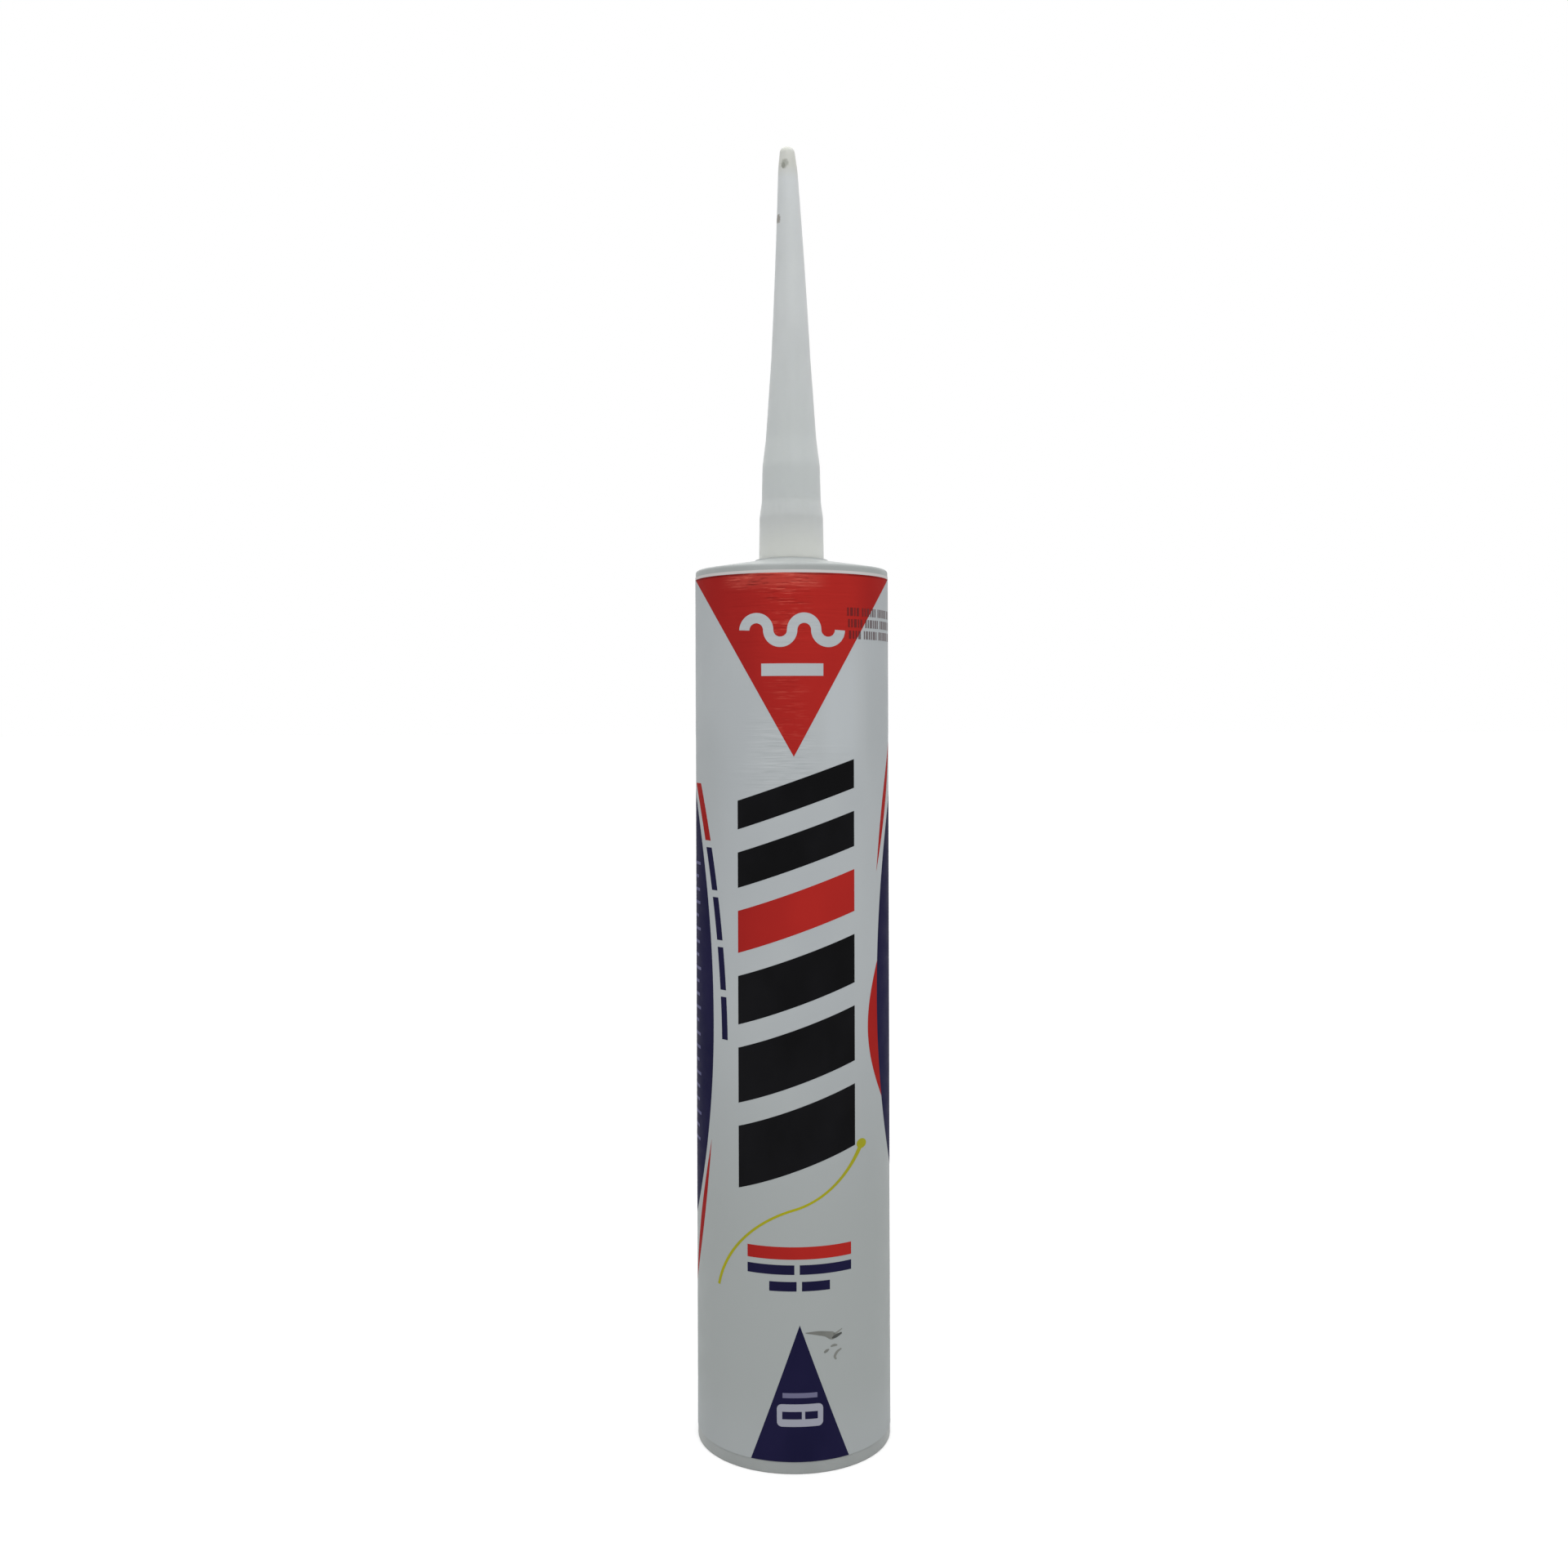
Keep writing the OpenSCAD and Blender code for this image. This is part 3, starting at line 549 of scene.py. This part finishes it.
# Barrel
def barrel_shell():
    """Closed profile from the closed tip down the outside and back up the bore, carried round the axis."""
    under = BARREL_LEN - SHOULDER
    corners = [
        (0, TIP_TOP, 0),
        (CUT_TIP_END, TIP_TOP, 0.9),
        (CUT_TIP_R, NECK_TOP, 0.3),
        (NECK_R, NECK_TOP, 0.5),
        (NECK_R, SEAT_Z, 0.25),
        (SEAT_R, SEAT_Z, 0.12),
        (SEAT_R, SEAT_Z - SEAT_H, 0.3),
        (BARREL_R, BARREL_LEN - RIM * SLOPE, 0.85),
        (BARREL_R, 0, 0.28),
        (ENTRY_R + LEAD_IN, 0, 0.1),
        (ENTRY_R, LEAD_IN_LEN, 0.1),
        (ENTRY_R, ENTRY_LEN, 0.3),
        (BORE_R, ENTRY_LEN + ENTRY_CONE, 0.3),
        (BORE_R, under, 0.4),
        (NECK_BORE, under + (BORE_R - NECK_BORE) * SLOPE, 0.3),
        (NECK_BORE, NECK_BORE_TOP, 0.2),
        (CUT_TIP_R - CUT_TIP_WALL, NECK_TOP - CUT_TIP_WALL, 0.2),
        (CUT_TIP_END - CUT_TIP_WALL, TIP_TOP - CUT_TIP_WALL, 0.3),
        (0, TIP_TOP - CUT_TIP_WALL, 0),
    ]
    return lathe(rounded_profile(corners), 160)


thread = helix_ridge(
    root=6.05, crest=NECK_R + 0.75, foot=2.04, top=0.6, pitch=3.0, turns=2.5, z0=SEAT_Z + 2.05
)
put_mesh("barrel_moulding", [barrel_shell(), thread], BARREL, "barrel", ("barrel",))


# Nozzle
def bent_nozzle(sideways=0.8, start=48.0):
    """Profile from the closed tip down the outside and back up the bore, with heights above the seat,
    carried round and then bent to the left as in the photo: above the start, a point moves by sideways
    times the square of its share of the way from the start to the tip."""
    corners = [
        (0, NOZZLE_LEN, 0),
        (1.75, NOZZLE_LEN, 1.5),
        (2.46, NOZZLE_LEN - 5.6, 40),
        (5.0, 51.8, 60),
        (6.45, 31, 25),
        (7.35, 24, 14),
        (7.55, 15, 8),
        (8.1, 11, 9),
        (8.3, 0, 0.3),
        (7.5, 0, 0.15),
        (7.5, 10.8, 1),
        (6.6, 15.95, 4),
        (6.4, 24, 6),
        (5.5, 31, 8),
        (4.05, 51.8, 20),
        (1.25, NOZZLE_LEN - 3.55, 0.4),
        (0, NOZZLE_LEN - 2.6, 0),
    ]
    profile = rounded_profile(corners, arc_steps=10, run_steps=12) + [0, SEAT_Z]
    points, quads = lathe(profile, 112)
    share = np.clip((points[:, 2] - SEAT_Z - start) / (NOZZLE_LEN - start), 0, 1)
    points[:, 0] -= sideways * share**2
    return points, quads


put_mesh("nozzle_moulding", [bent_nozzle()], NOZZLE, "nozzle", ("nozzle",))


# Piston
def face_z(r):
    """Height of the piston's sloped face above its rear edge at a radius."""
    return PISTON_H + (FACE_EDGE - r) * SLOPE


def piston_shell():
    """Cup with two sealing lips: its profile runs from the face down the outside and back up the inside."""
    cup_r = PISTON_R - PISTON_WALL
    lip_top = PISTON_H - LIP_SLOPE
    corners = [
        (0, face_z(0), 0),
        (FACE_EDGE, PISTON_H, 0.3),
        (LIP_R, lip_top, 0.2),
        (LIP_R, lip_top - LIP_H, 0.15),
        (PISTON_R, lip_top - LIP_H - LIP_SLOPE, 0.2),
        (PISTON_R, LIP_H + LIP_SLOPE, 0.2),
        (LIP_R, LIP_H, 0.15),
        (LIP_R, 0, 0.2),
        (cup_r, 0, 0.2),
        (cup_r, face_z(cup_r) - FACE_T, 0.5),
        (0, face_z(0) - FACE_T, 0),
    ]
    return lathe(rounded_profile(corners, arc_steps=4, run_steps=6) + [0, PISTON_Z], 144)


def hub():
    """Ring where the ribs meet, from 0.2 above the ribs' lower edge inside to that edge outside."""
    low = PISTON_Z + face_z(HUB_R) - FACE_T - RIB_H
    corners = [
        (HUB_BORE, low + 2.6, 0),
        (HUB_BORE, low + 0.2, 0.15),
        (HUB_R, low, 0.15),
        (HUB_R, low + 3.7, 0),
    ]
    profile = rounded_profile(corners, arc_steps=3, run_steps=4)
    return lathe(np.concatenate([profile, profile[:1]]), 96)


def rib(turn, thick=1.0, inner=5.0, outer=21.9, steps=24):
    """Radial rib: a bar from the middle of the sloped face's thickness to the rib's height below the
    face, turned about the axis."""
    r = np.linspace(inner, outer, steps)
    high = PISTON_Z + face_z(r) - FACE_T / 2
    low = PISTON_Z + face_z(r) - FACE_T - RIB_H
    side = np.array([-1, 1, 1, -1]) * thick / 2
    z = np.stack([low, low, high, high], axis=1)
    x, y = r[:, None] + 0 * side, side[None, :] + 0 * r[:, None]
    c, s = math.cos(turn), math.sin(turn)
    return square_tube(np.stack([c * x - s * y, s * x + c * y, z], axis=-1))


piston_parts = [piston_shell(), hub()] + [rib(2 * math.pi * k / RIBS) for k in range(RIBS)]
put_mesh("piston_cup", piston_parts, PISTON, "piston", ("piston",), sharp=35)

# Sealant: the space between piston and shoulder, up into the neck. All its points lie at its two ends, so
# that the lower end follows the piston and the upper one stays in the barrel
paste_low = PISTON_Z + FILL_GAP
paste_edge = paste_low + PISTON_H
paste_top = BARREL_LEN - SHOULDER - FILL_CLEAR
paste_profile = np.array([
    (0, paste_low + face_z(0)),
    (FACE_EDGE, paste_edge),
    (BORE_R - FILL_CLEAR, paste_edge),
    (BORE_R - FILL_CLEAR, paste_top),
    (NECK_BORE - FILL_CLEAR, paste_top + (BORE_R - NECK_BORE) * SLOPE),
    (NECK_BORE - FILL_CLEAR, NECK_BORE_TOP - FILL_CLEAR),
    (0, NECK_BORE_TOP - FILL_CLEAR),
])
sealant = put_mesh("sealant_fill", [lathe(paste_profile, 96)], PASTE, None, ("sealant",))
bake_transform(sealant)


# Label film
def film_tube():
    """Film once round the barrel, from just inside the barrel's face."""
    rows = 60
    face = np.stack([np.full(rows, FILM_R), np.linspace(FILM_LOW, FILM_TOP, rows)], axis=1)
    back = np.array([(BARREL_R - 0.01, FILM_TOP), (BARREL_R - 0.01, FILM_LOW)])
    return lathe(np.concatenate([back[1:], face, back]), 400)


overlap = wrap_patch(OVERLAP_START, OVERLAP_END, np.linspace(FILM_LOW, FILM_TOP, 40), TOP_R)
put_mesh("label_wrap", [film_tube(), overlap], FILM, "barrel", ("label_film",), sharp=30)


# Outlines of the print
def level_bar(x, z, wide, high, outer=INK_R):
    """Bar centred on x and z."""
    heights = np.linspace(z - high / 2, z + high / 2, 3)
    return wrap_patch(angle_at(x - wide / 2), angle_at(x + wide / 2), heights, outer)


def bar_pair(wide, z, high, share, gap, outer=INK_R):
    """Two bars on one line: the first takes its share of the width, and a gap parts it from the second."""
    first = wide * share
    rest = wide - first - gap
    left, right = GORE_X - wide / 2, GORE_X + wide / 2
    return (
        level_bar(left + first / 2, z, first, high, outer),
        level_bar(right - rest / 2, z, rest, high, outer),
    )


def round_bar(x, z, wide, high, corner, outer=INK_R):
    """Bar with round corners: its half width is w/2 - c + sqrt(c^2 - d^2), where d is how far a height
    lies past the corners' centres."""
    v = np.linspace(-np.pi / 2, np.pi / 2, 15)
    rise = np.where(v < 0, -1, 1) * (high / 2 - corner) + corner * np.sin(v)
    half = wide / 2 - corner + corner * np.cos(v)
    return wrap_patch(angle_at(x - half), angle_at(x + half), z + rise, outer)


def triangle(left, right, base_z, point_x, point_z):
    """Triangle with a level base: both edges run straight from the base to the point."""
    t = np.linspace(0, 1, 90)
    z = base_z + (point_z - base_z) * t
    left_edge = angle_at(left + (point_x - left) * t)
    right_edge = angle_at(right + (point_x - right) * t)
    return wrap_patch(left_edge, right_edge, z, INK_R)


def slanted_bar(left, right, z0, rise, thick):
    """Bar with upright ends: at each place u across it, it spans the thickness above z0 + rise u."""
    u = np.linspace(0, 1, 48)
    v = np.linspace(0, 1, 5)[:, None]
    return shell_of(on_barrel(angle_at(left + (right - left) * u), z0 + rise * u + thick * v), INK_R)


def ribbon(x, z, wide, outer=INK_R):
    """Line along a path in x and z: its edges lie half the width to each side, at right angles to it."""
    dx, dz = np.gradient(x), np.gradient(z)
    size = np.hypot(dx, dz)
    side = np.array([-1, 0, 1])[:, None] * wide / 2
    return shell_of(on_barrel(angle_at(x - side * dz / size), z + side * dx / size), outer)


def panel_depth(reach, h):
    """How far a side panel reaches in from the label's side at a height h from its middle: two bows."""
    r = np.where(h > 0, PANEL_R_UP, PANEL_R_LOW)
    return reach - r + np.sqrt(r * r - h * h)


def side_panel(side, reach, mid):
    """Side panel that goes on round the barrel, from its edge at the front to the same edge behind."""
    up, down = (math.sqrt(r**2 - (r - reach) ** 2) for r in (PANEL_R_UP, PANEL_R_LOW))
    quarter = np.linspace(0, np.pi / 2, 60)
    h = np.concatenate([-down * np.cos(quarter), up * np.sin(quarter)[1:]])
    near = angle_at(TOP_R - panel_depth(reach, h))
    far = 180 - near
    return wrap_patch(near, far, mid + h, INK_R) if side > 0 else wrap_patch(-far, -near, mid + h, INK_R)


def dash(number, length, gap=2.2, lean=0.025, wide=1.4):
    """Dash beside the left panel: its distance from the panel is gap - lean (z - low)."""
    z = DASH_LOW + number * DASH_STEP + np.linspace(0, length, 12)
    near = TOP_R - gap + lean * (z - DASH_LOW) - panel_depth(LEFT_REACH, z - LEFT_MID)
    return wrap_patch(angle_at(-near), angle_at(wide - near), z, INK_R)


def crescent(low=88.0, high=122.0, wide=2.5):
    """Sickle against the right panel: it stands out by wide sin(pi t) from the panel's edge."""
    t = np.linspace(0, 1, 40)
    z = low + (high - low) * t
    edge = TOP_R - panel_depth(RIGHT_REACH, z - RIGHT_MID)
    return wrap_patch(angle_at(edge - wide * np.sin(np.pi * t)), angle_at(edge), z, INK_R, cols=8)


def sliver(side, tip_z, tip_in, length, wide=0.95, end_in=0.25):
    """Sliver from a tip inside the label to its side: its middle lies at end + (tip - end)(1-t)^1.15 from
    the side, and its width is that of a sine."""
    t = np.linspace(0, 1, 30)
    x = TOP_R - end_in - (tip_in - end_in) * (1 - t) ** 1.15
    half = wide / 2 * np.sin(np.pi * t)
    a, b = angle_at(x - half), angle_at(x + half)
    z = tip_z + length * t
    return wrap_patch(a, b, z, INK_R, cols=6) if side > 0 else wrap_patch(-b, -a, z, INK_R, cols=6)


def wave(z, bow=2.9, wide=2.5, bows=4):
    """Wave of half circles, one up and one down in turn, as one line along x and z."""
    t = np.linspace(0, bows, 30 * bows + 1)
    k = np.minimum(np.floor(t), bows - 1)
    a = np.pi * (1 - (t - k))
    x = bow * (2 * k + 1 - bows) + bow * np.cos(a)
    return ribbon(x, z + np.where(k % 2 == 0, 1, -1) * bow * np.sin(a), wide, OVER_R)


def double_bow(mid_z=63.6, r=26.0, tilt=16.0, right=50.0, left=64.0, thin=0.6, swell=0.5):
    """Line of two bows that meet at their middle: the right one bends up and swells, the left one bends
    down. Its upper end is given with it."""
    a = np.radians(np.linspace(-left, right, 120))
    px = r * np.sin(a)
    pz = np.sign(a) * r * (1 - np.cos(a))
    c, s = math.cos(math.radians(tilt)), math.sin(math.radians(tilt))
    x, z = c * px - s * pz, mid_z + s * px + c * pz
    wide = thin + swell * (a / a[-1]).clip(0, 1) ** 3
    return ribbon(x, z, wide), (x[-1], z[-1])


def slanted_bars(low=68.0, rise=10.0, gap=5.6, step=1.6, count=6, clear=0.7, left=-13.4, right=15.0):
    """Bars one above the other, each thinner by a step than the one below. They fill the height up to a
    clearance under the red triangle's point."""
    room = CROWN_APEX - clear - low - rise - (count - 1) * gap
    thick = room / count + step * (count - 1) / 2 - step * np.arange(count)
    z = low + np.concatenate([[0], np.cumsum(thick[:-1] + gap)])
    return [slanted_bar(left, right, z0, rise, t) for z0, t in zip(z, thick)]


bars = slanted_bars()
RED_BAR = 3
red = [
    triangle(-24.4, 24.4, PRINT_TOP, 0.3, CROWN_APEX),
    bars[RED_BAR],
    level_bar(GORE_X, 53.2, 25.2, 3.0),
    dash(4, 14.0),
    crescent(),
    sliver(-1, 78.0, 4.4, -38.0),
    sliver(1, 144.0, 3.9, 32.0),
]
put_mesh("print_red", red, RED, "barrel", ("red_print",), sharp=30)

black = [bar for k, bar in enumerate(bars) if k != RED_BAR]
put_mesh("print_black", black, BLACK, "barrel", ("black_print",), sharp=30)

navy = [
    triangle(GORE_X - 11.9, GORE_X + 11.9, PRINT_LOW, GORE_X, PRINT_LOW + 32.9),
    *bar_pair(25.2, 49.2, 2.3, 0.45, 1.3),
    *bar_pair(14.7, 45.2, 2.3, 0.45, 1.3),
    *bar_pair(8.6, PLATE_Z, 1.8, 0.55, 0.8, TOP_R),
    side_panel(-1, LEFT_REACH, LEFT_MID),
    side_panel(1, RIGHT_REACH, RIGHT_MID),
    *(dash(k, 10.4) for k in range(4)),
]
put_mesh("print_navy", navy, NAVY, "barrel", ("navy_print",), sharp=30)

stroke, end = double_bow()
drop = round_bar(end[0], end[1], 2.4, 2.4, 1.19)
put_mesh("print_yellow", [stroke, drop], YELLOW, "barrel", ("yellow_print",), sharp=30)

white = [
    wave(PRINT_TOP - 13.8),
    level_bar(0, PRINT_TOP - 23.4, 15, 3, OVER_R),
    round_bar(GORE_X, PLATE_Z, 11.2, 5.4, 1.2, OVER_R),
    level_bar(GORE_X, PLATE_Z + 4.8, 8.4, 1.2, OVER_R),
]
put_mesh("print_white", white, WHITE, "barrel", sharp=30)


def small_lines(first=76.0, last=146.0, pitch=3.3, high=0.75):
    """Fine light lines on the left panel: from 109 degrees round the side to about 70, with ends that
    shift by a sine of the line's number."""
    z = np.arange(first, last, pitch)
    near = 71.5 + 2.2 * np.sin(2.3 * np.arange(len(z)))
    return [wrap_patch(-109.0, -a, low + np.linspace(0, high, 3), OVER_R) for low, a in zip(z, near)]


put_mesh("print_small_lines", small_lines(), PALE, "barrel", sharp=30)


def jetted_marks(rows=3, top=208.9, pitch=2.8, high=2.0, first=33.0, last=80.0):
    """Rows of short upright marks of jetted ink. Their widths in degrees go round five values, shifted by
    one from row to row, and every sixth gap is wide."""
    widths = np.array([1.1, 2.0, 0.9, 1.6, 1.2])
    count = 22
    marks = []
    for row in range(rows):
        wide = np.roll(widths, row)[np.arange(count) % len(widths)]
        gaps = np.where(np.arange(count - 1) % 6 == 3 + row % 2, 2.6, 1.0)
        starts = first + 0.6 * row + np.concatenate([[0], np.cumsum(wide[:-1] + gaps)])
        z = top - pitch * row - high + np.linspace(0, high, 3)
        marks += [wrap_patch(a, a + w, z, TOP_R, cols=4) for a, w in zip(starts, wide) if a < last]
    return marks


put_mesh("print_code", jetted_marks(), JETTED, "barrel", sharp=30)


def smear(x, z, wide, outer=OVER_R):
    """Ribbon along a smooth curve (Catmull-Rom) through a few points, with a width at each."""
    knots = np.stack([x, z, wide], axis=1)
    p = np.concatenate([2 * knots[:1] - knots[1:2], knots, 2 * knots[-1:] - knots[-2:-1]])
    t = np.linspace(0, 1, 9)[:-1, None]
    a, b, c, d = (p[i : len(p) - 3 + i][:, None] for i in range(4))
    curve = 0.5 * (2 * b + (c - a) * t + (2 * a - 5 * b + 4 * c - d) * t**2 + (3 * b - a - 3 * c + d) * t**3)
    curve = np.concatenate([curve.reshape(-1, 3), knots[-1:]])
    return ribbon(curve[:, 0], curve[:, 1], np.maximum(curve[:, 2], 0.05), outer)


# Scuffs to the right of the navy triangle's point
grey_marks = [
    smear((2.7, 5.4, 7.6, 9.2, 10.3), (34.0, 33.8, 33.4, 32.8, 32.9), (0.15, 0.9, 1.3, 1.9, 0.7)),
    smear((8.9, 9.8, 11.6), (33.2, 33.1, 34.1), (0.3, 0.5, 0.2)),
    smear((7.2, 7.8, 8.4), (28.9, 29.3, 29.6), (0.4, 0.7, 0.2)),
    smear((8.8, 9.6, 10.4), (30.2, 30.4, 30.3), (0.3, 0.6, 0.3)),
    smear((11.4, 10.4, 9.8, 10.1), (29.3, 28.7, 27.7, 26.9), (0.3, 0.6, 0.6, 0.4)),
]
put_mesh("scuff_grey", grey_marks, SCUFF, "barrel", sharp=30)
dark_mark = smear((9.1, 10.0, 11.5), (32.2, 32.5, 33.1), (0.3, 0.8, 0.4), TOP_R)
put_mesh("scuff_dark", [dark_mark], SCUFF_DARK, "barrel", sharp=30)

# Camera, at the photograph's viewing angle
camera_data = bpy.data.cameras.new("camera")
camera_data.sensor_width = 36
camera_data.lens = 36.325
camera_data.shift_y = -0.0394
camera_data.clip_start = 0.01
camera = bpy.data.objects.new("camera", camera_data)
camera.location = (-0.00204, -0.4053, 0.1814)
camera.rotation_euler = (math.radians(90), math.radians(0.18), 0)
bpy.context.scene.collection.objects.link(camera)
bpy.context.scene.camera = camera


def lamp(name, place, size, power, aim=(0, 0, 0.2)):
    """Soft square lamp at a place, turned to a point on the object."""
    data = bpy.data.lights.new(name, "AREA")
    data.size = size
    data.energy = power
    obj = bpy.data.objects.new(name, data)
    obj.location = place
    way = np.array(aim, float) - np.array(place, float)
    way /= np.linalg.norm(way)
    obj.rotation_euler = (math.acos(-way[2]), 0, math.atan2(way[0], -way[1]) + math.pi)
    bpy.context.scene.collection.objects.link(obj)


lamp("key", (0.06, -0.45, 0.7), 0.45, 1.5)
lamp("back", (-0.1, 0.8, 0.9), 0.8, 1.5)


# Floor and room
def looked_at(nodes, links):
    """1 for a ray from the camera, a mirror or clear glass, and 0 for one that lights the object."""
    path = nodes.new("ShaderNodeLightPath")
    value = path.outputs["Is Camera Ray"]
    for name in ("Is Glossy Ray", "Is Transmission Ray"):
        either = nodes.new("ShaderNodeMath")
        either.operation = "MAXIMUM"
        links.new(value, either.inputs[0])
        links.new(path.outputs[name], either.inputs[1])
        value = either.outputs[0]
    return value


def floor_finish():
    """White floor that keeps the shadow. It is looked at as white, with a little light of its own, and
    what it throws back on the object is that of a grey floor."""
    material = bpy.data.materials.new("white floor")
    material.use_nodes = True
    nodes, links = material.node_tree.nodes, material.node_tree.links
    nodes.clear()
    out = nodes.new("ShaderNodeOutputMaterial")
    diffuse = nodes.new("ShaderNodeBsdfDiffuse")
    shade = nodes.new("ShaderNodeMix")
    shade.data_type = "RGBA"
    shade.inputs[6].default_value = (0.3, 0.3, 0.3, 1)
    shade.inputs[7].default_value = (0.8, 0.8, 0.8, 1)
    links.new(shade.outputs[2], diffuse.inputs["Color"])
    glow = nodes.new("ShaderNodeEmission")
    seen = looked_at(nodes, links)
    lift = nodes.new("ShaderNodeMath")
    lift.operation = "MULTIPLY"
    lift.inputs[1].default_value = 0.18
    links.new(seen, shade.inputs[0])
    links.new(seen, lift.inputs[0])
    links.new(lift.outputs[0], glow.inputs["Strength"])
    add = nodes.new("ShaderNodeAddShader")
    links.new(diffuse.outputs[0], add.inputs[0])
    links.new(glow.outputs[0], add.inputs[1])
    links.new(add.outputs[0], out.inputs["Surface"])
    return material


def floor_plane(reach=20):
    """Level square at z = 0, in metres."""
    mesh = bpy.data.meshes.new("floor")
    corners = [(-reach, -reach, 0), (reach, -reach, 0), (reach, reach, 0), (-reach, reach, 0)]
    mesh.from_pydata(corners, [], [(0, 1, 2, 3)])
    mesh.materials.append(floor_finish())
    obj = bpy.data.objects.new("floor", mesh)
    bpy.context.scene.collection.objects.link(obj)
    return obj


def white_room():
    """World that is bright overhead, dim from the horizon down, and plain white where it is looked at."""
    world = bpy.data.worlds.new("white room")
    world.use_nodes = True
    nodes, links = world.node_tree.nodes, world.node_tree.links
    nodes.clear()
    out = nodes.new("ShaderNodeOutputWorld")
    room = nodes.new("ShaderNodeBackground")
    room.inputs["Color"].default_value = (1, 1, 1, 1)
    way = nodes.new("ShaderNodeTexCoord")
    split = nodes.new("ShaderNodeSeparateXYZ")
    rise = nodes.new("ShaderNodeMapRange")
    rise.inputs["To Min"].default_value = 0.48
    rise.inputs["To Max"].default_value = 1.68
    links.new(way.outputs["Generated"], split.inputs[0])
    links.new(split.outputs["Z"], rise.inputs["Value"])
    links.new(rise.outputs[0], room.inputs["Strength"])
    seen_white = nodes.new("ShaderNodeBackground")
    seen_white.inputs["Color"].default_value = (1, 1, 1, 1)
    seen_white.inputs["Strength"].default_value = 1.0
    pick = nodes.new("ShaderNodeMixShader")
    links.new(looked_at(nodes, links), pick.inputs[0])
    links.new(room.outputs[0], pick.inputs[1])
    links.new(seen_white.outputs[0], pick.inputs[2])
    links.new(pick.outputs[0], out.inputs["Surface"])
    return world


floor = floor_plane()
bpy.context.scene.world = white_room()
bpy.context.scene.view_settings.view_transform = "Standard"
